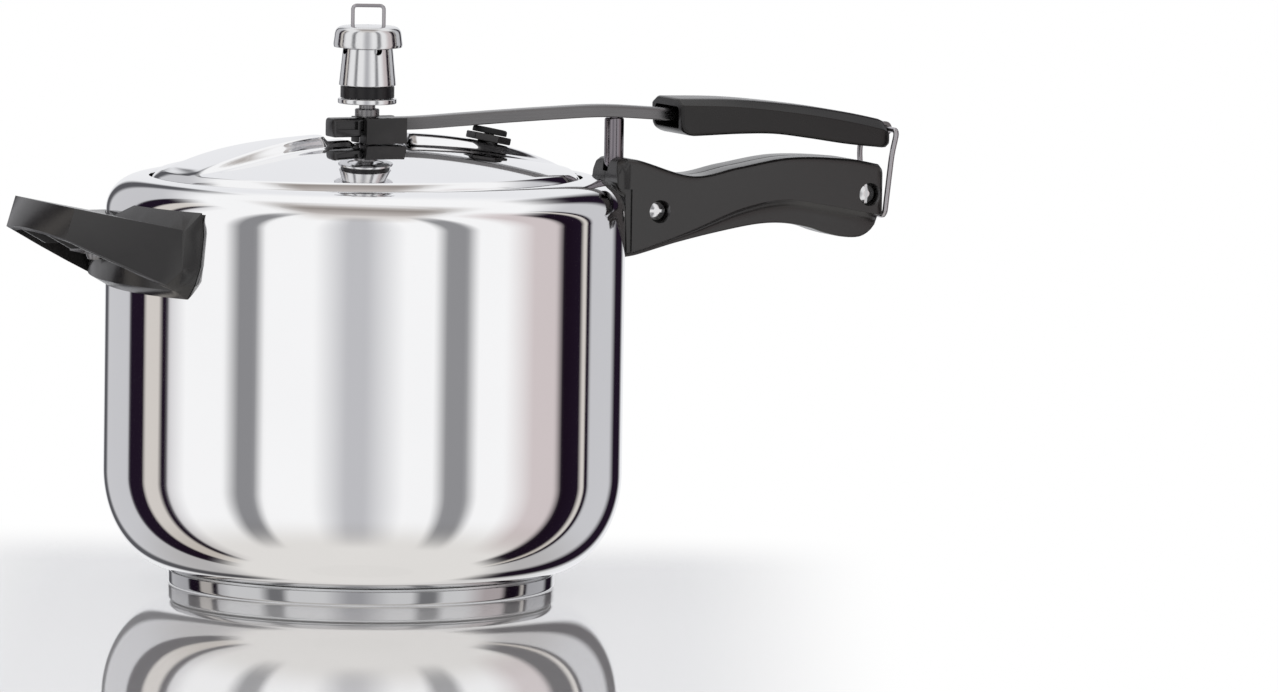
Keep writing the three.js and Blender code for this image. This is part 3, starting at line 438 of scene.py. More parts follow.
def bentPath(corners, bend, steps=10):
    path = [Vector(corners[0])]
    for before, here, after in zip(corners, corners[1:], corners[2:]):
        here = Vector(here)
        start = here + (Vector(before) - here).normalized() * bend
        end = here + (Vector(after) - here).normalized() * bend
        path += curved(start, here, end, steps)
    path.append(Vector(corners[-1]))
    return path


# Finishes

def newFinish(name, color, metallic, roughness, specular=0.5):
    made = bpy.data.materials.new(name)
    made.use_nodes = True
    shader = made.node_tree.nodes["Principled BSDF"]
    values = {"Base Color": (*color, 1), "Metallic": metallic, "Roughness": roughness}
    values["Specular IOR Level"] = specular
    for key, value in values.items():
        shader.inputs[key].default_value = value
    return made, made.node_tree, shader


def grain(tree, scale, stretch=(1, 1, 1), detail=3):
    mapping = flow(tree, "ShaderNodeMapping", {"Vector": objectPlace(tree)}, {"Scale": stretch})
    noise = addNode(tree, "ShaderNodeTexNoise", {"Vector": mapping}, {"Scale": scale, "Detail": detail})
    return noise.outputs["Fac"]


def ranged(tree, value, start, end, first, last, way="LINEAR"):
    return flow(
        tree, "ShaderNodeMapRange", {"Value": value},
        {"From Min": start, "From Max": end, "To Min": first, "To Max": last}, interpolation_type=way,
    )


def spread(tree, noise, low, high):
    return ranged(tree, noise, 0.3, 0.7, low, high)  # most of the noise lies between these two


def smooth(tree, value, start, end, first=0, last=1):
    return ranged(tree, value, start, end, first, last, "SMOOTHSTEP")


def blend(tree, factor, first, second, kind="MIX"):
    made = addNode(tree, "ShaderNodeMix", data_type="RGBA", blend_type=kind)
    for socket, value in zip((made.inputs[0], made.inputs[6], made.inputs[7]), (factor, first, second)):
        if isinstance(value, tuple):
            socket.default_value = (*value, 1)
        elif isinstance(value, (int, float)):
            socket.default_value = value
        else:
            tree.links.new(value, socket)
    return made.outputs[2]


def bumped(tree, shader, value, strength, distance):
    bump = flow(
        tree, "ShaderNodeBump", {"Height": value}, {"Strength": strength, "Distance": distance * mm}
    )
    tree.links.new(bump, shader.inputs["Normal"])


def steel(name, dark, light, smoothest, roughest, stretch, scale, depth):
    made, tree, shader = newFinish(name, light, 1, smoothest)
    clouds = grain(tree, 14)
    lines = grain(tree, scale, stretch, 4)
    tree.links.new(blend(tree, clouds, dark, light), shader.inputs["Base Color"])
    tree.links.new(spread(tree, lines, smoothest, roughest), shader.inputs["Roughness"])
    bumped(tree, shader, lines, 0.12, depth)
    return made


def moulded(name, dark, light, smoothest, roughest, scale, depth, specular=0.5):
    made, tree, shader = newFinish(name, light, 0, smoothest, specular)
    clouds = grain(tree, 45)
    skin = grain(tree, scale, detail=2)
    tree.links.new(blend(tree, clouds, dark, light), shader.inputs["Base Color"])
    tree.links.new(spread(tree, clouds, smoothest, roughest), shader.inputs["Roughness"])
    bumped(tree, shader, skin, 0.2, depth)
    return made


def blackened(finish, start, end, share):
    # darker towards the end that is below this place along the bar
    tree = finish.node_tree
    tone = tree.nodes["Principled BSDF"].inputs["Base Color"]
    parts = split(tree, objectPlace(tree))
    dark = smooth(tree, parts["X"], start * mm, end * mm, share, 1)
    tree.links.new(blend(tree, 1, tone.links[0].from_socket, dark, "MULTIPLY"), tone)


mirrorSteel = steel("mirror steel", (0.88, 0.88, 0.89), (0.93, 0.93, 0.94), 0.03, 0.055, (1, 1, 1), 30, 0.01)
baseSteel = steel("base steel", (0.5, 0.5, 0.51), (0.58, 0.58, 0.59), 0.05, 0.09, (1, 1, 40), 60, 0.01)
turnedSteel = steel("turned steel", (0.70, 0.70, 0.71), (0.80, 0.80, 0.81), 0.1, 0.17, (1, 1, 60), 60, 0.01)
darkSteel = steel("dark steel", (0.2, 0.195, 0.2), (0.27, 0.265, 0.27), 0.22, 0.32, (1, 30, 30), 60, 0.02)
postSteel = steel("post steel", (0.2, 0.18, 0.2), (0.26, 0.24, 0.26), 0.12, 0.2, (1, 1, 20), 60, 0.01)
wireSteel = steel("wire steel", (0.4, 0.385, 0.4), (0.5, 0.48, 0.5), 0.1, 0.18, (1, 1, 20), 60, 0.01)
barSteel = steel("bar steel", (0.14, 0.137, 0.14), (0.19, 0.186, 0.19), 0.22, 0.32, (1, 30, 30), 60, 0.02)
blackened(barSteel, 2, 26, 0.4)
blackSteel = steel("black steel", (0.05, 0.05, 0.05), (0.075, 0.072, 0.073), 0.36, 0.48, (1, 1, 1), 220, 0.02)
castAluminium = steel("aluminium", (0.60, 0.61, 0.62), (0.7, 0.71, 0.72), 0.3, 0.42, (1, 1, 40), 60, 0.02)
dullAlloy = steel("fusible alloy", (0.40, 0.40, 0.39), (0.5, 0.5, 0.49), 0.4, 0.55, (1, 1, 1), 200, 0.02)
phenolic = moulded("phenolic", (0.017, 0.0155, 0.0155), (0.023, 0.0215, 0.0215), 0.2, 0.27, 900, 0.02, 0.6)
darkPhenolic = moulded(
    "dark phenolic", (0.008, 0.007, 0.007), (0.012, 0.011, 0.011), 0.22, 0.3, 900, 0.02, 0.42
)
bandPaint = moulded("band paint", (0.006, 0.005, 0.007), (0.01, 0.009, 0.011), 0.25, 0.34, 700, 0.01, 0.35)
softRubber = moulded("rubber", (0.011, 0.011, 0.012), (0.016, 0.016, 0.017), 0.55, 0.7, 700, 0.03, 0.3)

print("stage: finishes and trees")

# Vessel

lip = boxOf("body_shell")[1].z
bodyRadius = boxOf("body_shell")[1].y
vessel = {"wall": 1.6, "cornerWidth": 29, "cornerHeight": 39.3, "shoulder": 14.5, "lipX": 15, "lipY": 25}
mouthX = bodyRadius - vessel["lipX"]
mouthY = bodyRadius - vessel["lipY"]


def vesselSide(wall):
    wide, tall, shoulder = vessel["cornerWidth"], vessel["cornerHeight"], vessel["shoulder"]
    high = boxOf("body_shell")[0].z + tall
    rows = []
    for i in range(33):
        turn = i / 32 * pi / 2
        r = bodyRadius - wide + (wide - wall) * sin(turn)
        rows.append((r, r, high - (tall - wall) * cos(turn)))
    start = lip - shoulder
    r = bodyRadius - wall
    for i in range(1, 12):
        rows.append((r, r, mix(high, start, i / 12)))
    for i in range(33):
        turn = i / 32 * pi / 2
        inset = 1 - cos(turn)
        z = start + (shoulder - wall) * sin(turn)
        rows.append((r - (r - mouthX) * inset, r - (r - mouthY) * inset, z))
    return rows


def vesselProfile():
    outside = vesselSide(0)
    inside = vesselSide(vessel["wall"])
    edge = []
    for i in range(1, 8):
        turn = i / 8 * pi
        out = 0.5 * vessel["wall"] * sin(turn)
        z = lip - vessel["wall"] / 2 * (1 - cos(turn))
        edge.append((mouthX - out, mouthY - out, z))
    bottom = [(0, 0, outside[0][2])]
    floor = [(0, 0, inside[0][2])]
    return bottom + outside + edge + inside[::-1] + floor


bodyPiece = spun("bodyShell", vesselProfile(), mirrorSteel, 192)
settle(bodyPiece, mirrorSteel, "mirror_steel", "vessel", "body_shell")

base = {"edge": 1.1, "rim": 0.4, "sheet": 0.8}
capHigh = boxOf("base_cap")[1]
coreLow, coreHigh = boxOf("base_core")
baseR = capHigh.x
baseIn = baseR - base["sheet"]
turned("base_cap", [
    (0, 0, 0), (baseR, 0, base["edge"]), (baseR, capHigh.z, base["rim"]),
    (baseIn, capHigh.z, 0.2), (baseIn, base["sheet"], 0), (0, base["sheet"], 0),
], baseSteel, "mirror_steel", "vessel", 192, False)
turned("base_core", [
    (0, coreLow.z, 0), (coreHigh.x, coreLow.z, 0.2), (coreHigh.x, coreHigh.z, 0.5), (0, coreHigh.z, 0),
], castAluminium, "aluminium", "vessel", 192, False)
print("stage: vessel")

# Body handle

handleLow, handleHigh = boxOf("body_handle_near")
wallGap = 6  # from the vessel's wall to the front of the handle
handle = {
    "front": bodyRadius + wallGap, "end": handleHigh.x, "face": -handleLow.y, "inset": 4.6, "edge": 3,
    "tip": (1.1, 0.985, 0.015),  # rounded end: depth, start along the handle, length
    "top": smoothLine([
        (0, 5.2), (0.05, 4.3), (0.263, -2.5), (0.438, 0.7), (0.642, 4.1), (0.876, 3), (1, 0.4),
    ]),
    "ridge": smoothLine([
        (0, -32.8), (0.05, -31.9), (0.243, -24.8), (0.447, -16.1), (0.613, -13), (0.778, -15.5), (1, -20.3),
    ]),
    "lower": smoothLine([
        (0, -35.2), (0.05, -34.4), (0.21, -29.7), (0.38, -25.7), (0.53, -23), (0.63, -22.9),
        (0.73, -24.9), (0.79, -27.2), (0.86, -29), (0.93, -29.2), (0.97, -26.8), (1, -22.3),
    ]),
}
# rings of the nose over the mouth's lip: place, underside, top, rounding
nose = [
    (1.1, 157.8, 161.6, 2), (1.35, 156.8, 165.4, 4.5), (2, 155.7, 168.2, 6.5), (3.2, 154.7, 169.3, 7),
    (5, 153.8, 169.6, 5.5),
]
noseRing = {"ridge": 2, "inset": 1, "slimmer": 0.4}
cove = {"corner": 0.5, "in": 1.05, "down": 0.2, "foot": 0.12, "heel": 1.6}  # hollow along the lower side
# each screw: place along the handle, height from the lip, turn of its slot
screws = {
    "front": (0.125, -16.5, 90), "rear": (0.947, -11.5, 0), "recess": 4.7, "depth": 6.4, "radius": 4,
    "nut": 4.4, "nutDepth": 4.5,
}
step = {"depth": 0.8, "back": 1.8, "top": 157.3, "start": 100, "low": 120}  # set-back front edge of each half
seat = {"radius": 4.35, "drop": 0.5, "height": 50}  # round seat of the fulcrum post
pocket = {  # for the bracket
    "half": 1.5,
    "outline": [
        (104.7, 128.2), (118, 137.2), (150.3, 143.2), (150.3, 155.8), (123.3, 157.8), (116.3, 164.3),
        (106.2, 164.3), (104.7, 156.8),
    ],
}
past = 20  # how far a cutting tool reaches beyond the middle
postLow, postHigh = boxOf("fulcrum_post")
postX = (postLow.x + postHigh.x) / 2
postRadius = (postHigh.x - postLow.x) / 2


def handleRing(x, top, ridge, low, face, edge, inset, side):
    corner = cove["corner"]
    corners = [(joint, top, corner), (face, top, edge), (face, ridge, corner)]
    outline = rounded([(joint, low, corner)] + corners + [(face - inset, ridge, 0)], 7)[8:-1]
    start = Vector((face, ridge))
    middle = Vector((face - cove["in"] * inset, ridge - cove["down"] * (ridge - low)))
    end = Vector((face - inset, low + cove["foot"] * (ridge - low)))
    heel = Vector((face - inset, low))
    flat = Vector((face - inset - cove["heel"], low))
    outline += curved(start, middle, end, 8, 1) + curved(end, heel, flat, 5, 1)
    outline.append(Vector((joint, low)))
    return [(x, side * y, z) for y, z in outline]


def screwSpot(key):
    along, height = screws[key][:2]
    return mix(handle["front"], handle["end"], along), lip + height


def handleHalf(side):
    rings = []
    for ahead, low, top, edge in nose:
        x = handle["front"] - wallGap + ahead
        face = handle["face"] - noseRing["slimmer"]
        rings.append(handleRing(x, top, low + noseRing["ridge"], low, face, edge, noseRing["inset"], side))
    depth, start, reach = handle["tip"]
    steps = 72
    length = handle["end"] - handle["front"]
    for i in range(steps + 1):
        along = i / steps
        pull = depth * max(0, (along - start) / reach) ** 2
        rings.append(handleRing(
            handle["front"] + along * length,
            lip + handle["top"](along) - pull,
            lip + handle["ridge"](along) + 0.2 * pull,
            lip + handle["lower"](along) + 0.6 * pull,
            handle["face"] - pull, handle["edge"], handle["inset"], side,
        ))
    half = lofted("bodyHandle" + ("Near" if side < 0 else "Far"), rings)
    seatZ = lip - seat["drop"]
    tools = [rod("slot", seat["radius"], seatZ, seatZ + seat["height"], at=(postX, 0))]
    tools.append(plate("pocket", pocket["outline"], -pocket["half"], pocket["half"]))
    inner = side * (handle["face"] - step["depth"])
    stepX = (step["start"], handle["front"] + step["back"])
    tools.append(block("step", stepX, sorted((inner, side * past)), (step["low"], step["top"])))
    for key in ("front", "rear"):
        spot = screwSpot(key)
        if side < 0:
            tools.append(rod("recess", screws["recess"], -past, -handle["face"] + screws["depth"], "Y", spot))
        else:
            bed = handle["face"] - screws["nutDepth"]
            tools.append(rod("nutPocket", screws["nut"], bed, past, "Y", spot, 6))
    return carved(half, *tools)


settle(handleHalf(-1), phenolic, "phenolic", "vessel", "body_handle_near")
settle(handleHalf(1), phenolic, "phenolic", "vessel", "body_handle_far")


def screwHeads():
    bed = screws["depth"] - 0.3
    radius = screws["radius"]
    crown = bed - 2.6
    head = turnedPiece("screwHead", [
        (0, bed, 0), (radius, bed, 0.2), (radius, bed - 2.0, 0.7), (1.4, crown, 1), (0, crown, 0),
    ], turnedSteel, 48)
    slot = block("slot", (-0.6, 0.6), (-9, 9), (bed - 5, bed - 1.6))
    carved(head, slot)
    keys = ("front", "rear")
    spots = [screwSpot(key) for key in keys]
    points = newMesh("screwPlaces", [(x, -handle["face"], z) for x, z in spots])
    turns = points.attributes.new("turn", "FLOAT_VECTOR", "POINT")
    for mark, key in zip(turns.data, keys):
        mark.vector = (-pi / 2, radians(screws[key][2]), 0)
    places = linked("handleScrews", points)
    grown(places, copiesNodes, {"Original": head, "Finish": turnedSteel})
    bpy.data.objects.remove(head)
    return places


settle(screwHeads(), turnedSteel, "mirror_steel", "vessel", "handle_screw_front", "handle_screw_rear")
for end in ("front", "rear"):
    dressed("handle_nut_" + end, 0.35, darkSteel, "dark_steel", "vessel")
dressed("handle_bracket", 0.3, darkSteel, "dark_steel", "vessel")
print("stage: body handle")

# Helper handle

helper = {
    "round": 0.8, "ends": [(43, 0), (46.5, 6), (48.8, 13), (50.2, 26), (49.5, 36)],
    "below": -3, "beside": 60, "along": (-130, -60),  # reach of the cut
}


def helperHandle():
    # the skirt's corners at the wall follow the curved ends of the flange
    piece = softened("helper_handle", "helperHandle", helper["round"])
    foot = boxOf("helper_handle")[0].z
    ends, below, beside = helper["ends"], helper["below"], helper["beside"]
    rows = [(ends[0][0], below)] + ends + [(beside, ends[-1][1]), (beside, below)]
    for side in (-1, 1):
        outline = [(side * half, foot + rise) for half, rise in rows][::side]
        carved(piece, plate("helperTrim", outline, *helper["along"], "X"), sharp=0)
    return piece


settle(helperHandle(), phenolic, "phenolic", "vessel", "helper_handle")
dressed("helper_bracket", 0.3, darkSteel, "dark_steel", "vessel")
dressed("helper_screw", 0.2, darkSteel, "dark_steel", "vessel")
print("stage: helper handle")

# Lid

apex = boxOf("lid_bracket")[0].z - 0.3
lid = {
    "wall": 1.8, "rise": 10.2, "rim": 4.5, "clear": 1, "overlap": 6, "crowd": 0.6, "lipRound": 0.9,
    "edge": [  # the rim's slope: out from the dome, down from it
        (0, 0), (0.6, 0.4), (1.2, 0.9), (1.8, 1.45), (2.4, 2.05), (3.1, 2.85), (3.9, 3.8), (4.5, 4.7),
    ],
    "fillet": [(0, 0.6), (0.2, 0.2), (0.6, 0)],  # between the rim and the flange: out and up
}
ridge = {
    "rise": 4.5, "crest": 3, "foot": 9.5, "right": 15, "left": 18.4, "end": 82.5, "ramp": 2.5,
    "under": (7, 2),  # low end under the bar's tail: start and height
    "flare": (20, 67, 10.5),  # wider to the left: start, end and how much
}
rimTop = apex - lid["rise"]
domeX = mouthX - lid["clear"] - lid["rim"]
domeY = mouthY - lid["clear"] - lid["rim"]
flangeTop = boxOf("gasket")[0].z - 0.3


def lidSkin(wall):
    rows = []
    for i in range(3, 49):
        share = i / 48
        z = rimTop - wall + lid["rise"] * (1 - share ** 2)
        rows.append((domeX * share, mix(domeX, domeY, min(1, share / 0.3)) * share, z))
    if not wall:
        drop = smoothLine(lid["edge"])
        steps = [lid["rim"] * i / 18 for i in range(1, 19)]
        return rows + [(domeX + out, domeY + out, rimTop - drop(out)) for out in steps]
    for i in range(1, 13):
        turn = i / 12 * pi / 2
        out = (lid["rim"] - wall) * sin(turn)
        rows.append((domeX + out, domeY + out, rimTop - lid["rim"] + (lid["rim"] - wall) * cos(turn)))
    return rows


def lidProfile():
    low = flangeTop - lid["wall"]
    upX = domeX + lid["rim"]
    upY = domeY + lid["rim"]
    edgeX = mouthX + lid["overlap"]
    edgeY = mouthY + lid["overlap"]
    bend = lid["lipRound"]
    rows = lidSkin(0)
    rows += [(upX + out, upY + out, flangeTop + up) for out, up in lid["fillet"]]
    for k in range(9):
        turn = k / 8 * pi
        out = bend * sin(turn)
        rows.append((edgeX - bend + out, edgeY - bend + out, flangeTop - bend * (1 - cos(turn))))
    rows.append((upX - lid["wall"], upY - lid["wall"], low))
    rows += lidSkin(lid["wall"])[::-1]
    rows.append(rows[0])
    return rows


def ramp(value, low, high):
    t = min(max((value - low) / (high - low), 0), 1)
    return t * t * (3 - 2 * t)


def ridgeLift(x):
    return ridge["rise"] * (1 - (x / domeX) ** 4)


def raiseRidge(piece):
    # ridge along the middle of the lid, in front of the bracket and behind it
    for vertex in piece.data.vertices:
        x, y, z = vertex.co / mm
        share = min(hypot(x / domeX, y / domeY), 1)
        start, end, more = ridge["flare"]
        wider = more * ramp(-x, start, end)
        if abs(y) > ridge["foot"] + wider or z < rimTop + lid["rise"] * (1 - share ** 2) - lid["wall"] / 2:
            continue
        start = ridge["right"] if x > 0 else ridge["left"]
        near = ramp(abs(x), start, start + ridge["ramp"])
        rise = ridgeLift(x) * near * ramp(abs(x), ridge["end"], ridge["end"] - ridge["ramp"])
        if x < 0:
            start, lower = ridge["under"]
            rise += lower * (1 - near) * ramp(-x, start, start + ridge["ramp"])
        vertex.co.z += rise * ramp(abs(y), ridge["foot"] + wider, ridge["crest"] + wider) * mm
    piece.data.update()
    return piece


valve = {"place": 53, "stem": 4.3, "hex": 2.8, "cap": 7, "capHeight": 2.4, "round": 1.2}
valveShare = valve["place"] / domeX
valveTilt = atan((2 * lid["rise"] * valveShare + 4 * ridge["rise"] * valveShare ** 3) / domeX)
valveTop = rimTop + lid["rise"] * (1 - valveShare ** 2) + ridgeLift(valve["place"])
valveFrame = Matrix.Translation((valve["place"], 0, valveTop)) @ Matrix.Rotation(valveTilt, 4, "Y")
lidPiece = raiseRidge(spun("lidShell", lidProfile(), mirrorSteel, 288, crowd=lid["crowd"]))
stemHole = moved(rod("stemHole", valve["stem"], -past, past), valveFrame)
settle(carved(lidPiece, stemHole), mirrorSteel, "mirror_steel", "lid", "lid_shell")


gasket = {"inner": 0.6, "outer": 5.4, "slope": 1.1, "round": 0.5, "crest": 0.7}  # out from the mouth


def gasketProfile():
    low, high = boxOf("gasket")
    inner, outer, soft = gasket["inner"], gasket["outer"], gasket["round"]
    outline = rounded([
        (inner, low.z, soft), (outer, low.z, soft), (outer, high.z - gasket["slope"], soft),
        (inner, high.z, gasket["crest"]),
    ], 5)
    rows = [(mouthX + a, mouthY + a, z) for a, z in outline]
    rows.append(rows[0])
    return rows


settle(spun("gasketRing", gasketProfile(), softRubber, 160), softRubber, "rubber", "lid", "gasket")
print("stage: lid")

# Lever bar on its bracket, with the fulcrum post

barBox = boxOf("lever_bar")
bracketBox = boxOf("lid_bracket")
barTop = bracketBox[1].z
bar = {
    "width": 9, "thick": 5, "tail": barBox[0].x, "block": -4.4, "tailDepth": 2.6, "round": 2.1, "eye": 3,
    "eyeX": barBox[1].x - 3, "eyeZ": lip + 14.6, "eyeHole": 1.45, "ventHole": 3.55, "edge": 0.8,
    "slot": (1.6, 10.6), "slotDepth": 1.6, "slotHeight": (4.6, 1.2),  # slot in each side of the tail
}
tailLow = barTop - bar["thick"] - bar["tailDepth"]
barMiddle = barTop - bar["thick"] / 2
barLine = smoothLine([
    (0, 0), (0.09, 0), (0.18, 1.0), (0.26, 1.9), (0.35, 2.8), (0.45, 3.4), (0.55, 2.0), (0.6, 1.1),
    (0.8, -1.6), (1, bar["eyeZ"] - barMiddle),
])


def barRing(x, top, low, pull=0):
    half = bar["width"] / 2 - pull
    corners = [
        (-half, low + pull, bar["edge"]), (half, low + pull, bar["edge"]),
        (half, top - pull, bar["round"]), (-half, top - pull, bar["round"]),
    ]
    return [(x, y, z) for y, z in rounded(corners, 6)]


def leverBar():
    rings = []
    for ahead, pull in ((0, 0.8), (0.25, 0.25), (0.8, 0)):
        rings.append(barRing(bar["tail"] + ahead, barTop, tailLow, pull))
    rings.append(barRing(bar["block"] - 0.3, barTop, tailLow))
    rings.append(barRing(bar["block"], barTop, tailLow + 0.3))
    rings.append(barRing(bar["block"] + 0.01, barTop, barTop - bar["thick"]))
    steps = 80
    for i in range(steps + 1):
        x = i / steps * (bar["eyeX"] - 1)
        z = barMiddle + barLine(x / bar["eyeX"])
        rings.append(barRing(x, z + bar["thick"] / 2, z - bar["thick"] / 2))
    body = lofted("leverBar", rings)
    eyeSpot = (bar["eyeX"], bar["eyeZ"])
    half = bar["width"] / 2
    joined(body, rod("eye", bar["eye"], -half, half, "Y", eyeSpot))
    tools = [rod("eyeHole", bar["eyeHole"], -past, past, "Y", eyeSpot)]
    tools.append(rod("ventHole", bar["ventHole"], 150, 260))
    slotX = [bar["tail"] + reach for reach in bar["slot"]]
    slotZ = [barTop - drop for drop in bar["slotHeight"]]
    for side in (-1, 1):
        sides = sorted((side * (half + 1), side * (half - bar["slotDepth"])))
        tools.append(block("tailSlot", slotX, sides, slotZ))
    return carved(body, *tools)


settle(leverBar(), barSteel, "dark_steel", "lid", "lever_bar")
dressed("lid_bracket", 0.6, blackSteel, "black_steel", "lid")


def fulcrumPost():
    shoulder = barMiddle + barLine(postX / bar["eyeX"]) - bar["thick"] / 2 - 0.3
    ball = postLow.z + postRadius
    rows = []
    for i in range(13):
        turn = i / 12 * pi / 2
        rows.append((postRadius * sin(turn), ball - postRadius * cos(turn)))
    rows += [(postRadius, shoulder - 0.7), (postRadius - 0.2, shoulder - 0.2), (postRadius - 0.7, shoulder)]
    rows += [(2, shoulder), (2, postHigh.z), (0, postHigh.z)]
    made = spun("fulcrumPost", [(r, r, z) for r, z in rows], postSteel, 64)
    return moved(made, Matrix.Translation((postX, 0, 0)))


settle(fulcrumPost(), postSteel, "dark_steel", "lid", "fulcrum_post")
print("stage: lever bar")

# Vent tube and its fittings

ventLow, ventHigh = boxOf("vent_tube")
collarLow, collarHigh = boxOf("vent_collar")
vent = {"bore": 1.2, "radius": 3.25, "tip": 1.2, "tipHeight": 2.4, "collarBore": 3.55}
turned("vent_tube", [
    (vent["bore"], ventLow.z, 0), (vent["radius"], ventLow.z, 0.3),
    (vent["radius"], ventHigh.z - vent["tipHeight"], 0.4),
    (vent["radius"] - vent["tip"], ventHigh.z, 0.2), (vent["bore"], ventHigh.z, 0.2),
], darkSteel, "dark_steel", "lid", 48)
turned("vent_collar", [
    (vent["collarBore"], collarLow.z, 0), (collarHigh.x, collarLow.z, 0.3),
    (collarHigh.x, collarHigh.z, 0.9), (vent["collarBore"], collarHigh.z, 0.2),
], darkSteel, "dark_steel", "lid", 64)
dressed("vent_nut", 0.4, turnedSteel, "mirror_steel", "lid")
dressed("vent_seal", 0.3, softRubber, "rubber", "lid")

# Safety valve

dressed("safety_valve_body", 0.5, blackSteel, "black_steel", "lid")
capFoot = valve["hex"] + 0.6
capCrown = capFoot + valve["capHeight"]
valveCap = turnedPiece("safetyValveCap", [
    (2.3, capFoot, 0), (valve["cap"], capFoot, 0.4), (valve["cap"], capCrown, valve["round"]),
    (2.9, capCrown, 0.3), (2.3, capCrown - 0.5, 0.1),
], softRubber, 64, True)
settle(moved(valveCap, valveFrame), softRubber, "rubber", "lid", "safety_valve_cap")
dressed("fusible_plug", 0.3, dullAlloy, "fusible_alloy", "lid")
dressed("safety_valve_seal", 0.3, softRubber, "rubber", "lid")
dressed("safety_valve_nut", 0.4, turnedSteel, "mirror_steel", "lid")
print("stage: vent and safety valve")

# Lid handle

lidHandleLow, lidHandleHigh = boxOf("lid_handle")
lidHandle = {
    "start": lidHandleLow.x, "end": lidHandleHigh.x, "front": 14.5, "back": 13, "wall": 3, "mouth": 12,
    "top": smoothLine([(0, 29), (0.29, 28.2), (0.605, 25.1), (0.83, 21.7), (1, 18.3)]),
    "under": smoothLine([
        (0, 13.9), (0.07, 13.8), (0.29, 14.3), (0.45, 14), (0.605, 12.1), (0.795, 9.3), (1, 7.1),
    ]),
    "toe": (7, 4.2),  # rounding of the lower front edge, along and up
    "shoulder": (2.6, 4.2), "round": 5, "screw": 0.25, "headHole": (5, 3.6),
    "tip": (1.4, 0.97, 0.03),  # rounded end: depth, start along the handle, length
}


def lidHandleRing(x, along, pull):
    half = mix(lidHandle["front"], lidHandle["back"], along) - pull
    top = lip + lidHandle["top"](along) - pull
    under = lip + lidHandle["under"](along) + pull
    reach, rise = lidHandle["toe"]
    toe = max(0, 1 - (x - lidHandle["start"]) / reach)
    under += rise * (1 - sqrt(1 - min(toe, 1) ** 2))
    shoulder = mix(*lidHandle["shoulder"], along)
    soft = lidHandle["round"]
    right = [(half - soft, top, soft), (half, top - shoulder, 0.8), (half, under, 2.4)]
    left = [(-y, z, r) for y, z, r in reversed(right)]
    return [(x, y, z) for y, z in rounded(right + left, 7)]


def lidHandleBody():
    start = lidHandle["start"]
    length = lidHandle["end"] - start
    depth, taper, reach = lidHandle["tip"]
    rings = []
    steps = 60
    for i in range(steps + 1):
        along = i / steps
        pull = depth * max(0, (along - taper) / reach) ** 2
        rings.append(lidHandleRing(start + along * length, along, pull))
    for share, pull in ((0.0, 0.5), (0.004, 0.15)):
        rings.insert(int(share > 0), lidHandleRing(start + share * length, 0, pull))
    rings[2] = lidHandleRing(start + 0.01 * length, 0.01, 0)
    body = lofted("lidHandle", rings)
    inner = lidHandle["front"] - lidHandle["wall"]
    low = lip + lidHandle["under"](0) + lidHandle["wall"]
    high = lip + lidHandle["top"](0.12) - lidHandle["wall"]
    outline = rounded([(-inner, low, 2), (inner, low, 2), (inner, high, 2.5), (-inner, high, 2.5)], 6)
    mouth = plate("mouth", outline, start - 1, start + lidHandle["mouth"], "X")
    screwX = start + lidHandle["screw"] * length
    radius, rise = lidHandle["headHole"]
    bed = lip + lidHandle["under"](lidHandle["screw"]) + rise
    return carved(body, mouth, rod("headHole", radius, 150, bed, at=(screwX, 0)))


settle(lidHandleBody(), darkPhenolic, "phenolic", "lid", "lid_handle")
dressed("lid_handle_screw", 0.2, turnedSteel, "mirror_steel", "lid")
print("stage: lid handle")

# Weight

sleeveLow, sleeveHigh = boxOf("weight_sleeve")
bellLow, bellHigh = boxOf("weight_cap")
weight = {
    "core": 7.8, "wall": 1.4, "foot": 2, "sleeveTop": 10,
    "holes": 4, "holeRadius": 1.9, "holeDrop": 0.5, "holeTurn": -90, "holeRing": 11, "holeDepth": 6,
}
bell = {"skirt": 0.9, "round": 3.6, "crown": 0.8}
bail = {"half": 6.2, "wire": 0.75, "bend": 1.8, "turn": -25}


def weightRing(node, soft, finish, slotName):
    low, high = boxOf(node)
    core = weight["core"]
    corners = [(core, low.z, 0), (high.x, low.z, soft), (high.x, high.z, soft), (core, high.z, 0)]
    turned(node, corners, finish, slotName, "weight")


weightRing("weight_base_ring", 0.5, turnedSteel, "mirror_steel")
weightRing("weight_band", 0.3, bandPaint, "black_steel")


def weightSleeve():
    core, top, wall = weight["core"], weight["sleeveTop"], weight["wall"]
    foot = sleeveLow.z + weight["foot"]
    made = turnedPiece("weightSleeve", [
        (core, sleeveLow.z, 0), (sleeveHigh.x, sleeveLow.z, 0.5), (top, sleeveHigh.z, 0.3),
        (top - wall, sleeveHigh.z, 0), (sleeveHigh.x - wall, foot, 0), (core, foot, 0),
    ], turnedSteel, 96, True)
    return grown(made, drillNodes, {
        "Count": weight["holes"], "Hole radius": weight["holeRadius"] * mm,
        "Ring radius": weight["holeRing"] * mm, "Depth": weight["holeDepth"] * mm,
        "Height": (sleeveHigh.z - weight["holeDrop"]) * mm,
        "Start": radians(weight["holeTurn"]), "Finish": turnedSteel,
    })


settle(weightSleeve(), turnedSteel, "mirror_steel", "weight", "weight_sleeve")
dressed("weight_core", 0.2, turnedSteel, "mirror_steel", "weight")
turned("weight_cap", [
    (0, bellLow.z, 0), (bellHigh.x - 0.2, bellLow.z, 0.4), (bellHigh.x, bellLow.z + 1.2, 1.5),
    (bellHigh.x - bell["skirt"], bellHigh.z - bell["crown"], bell["round"]), (0, bellHigh.z, 0),
], turnedSteel, "mirror_steel", "weight", 96, False, 10)


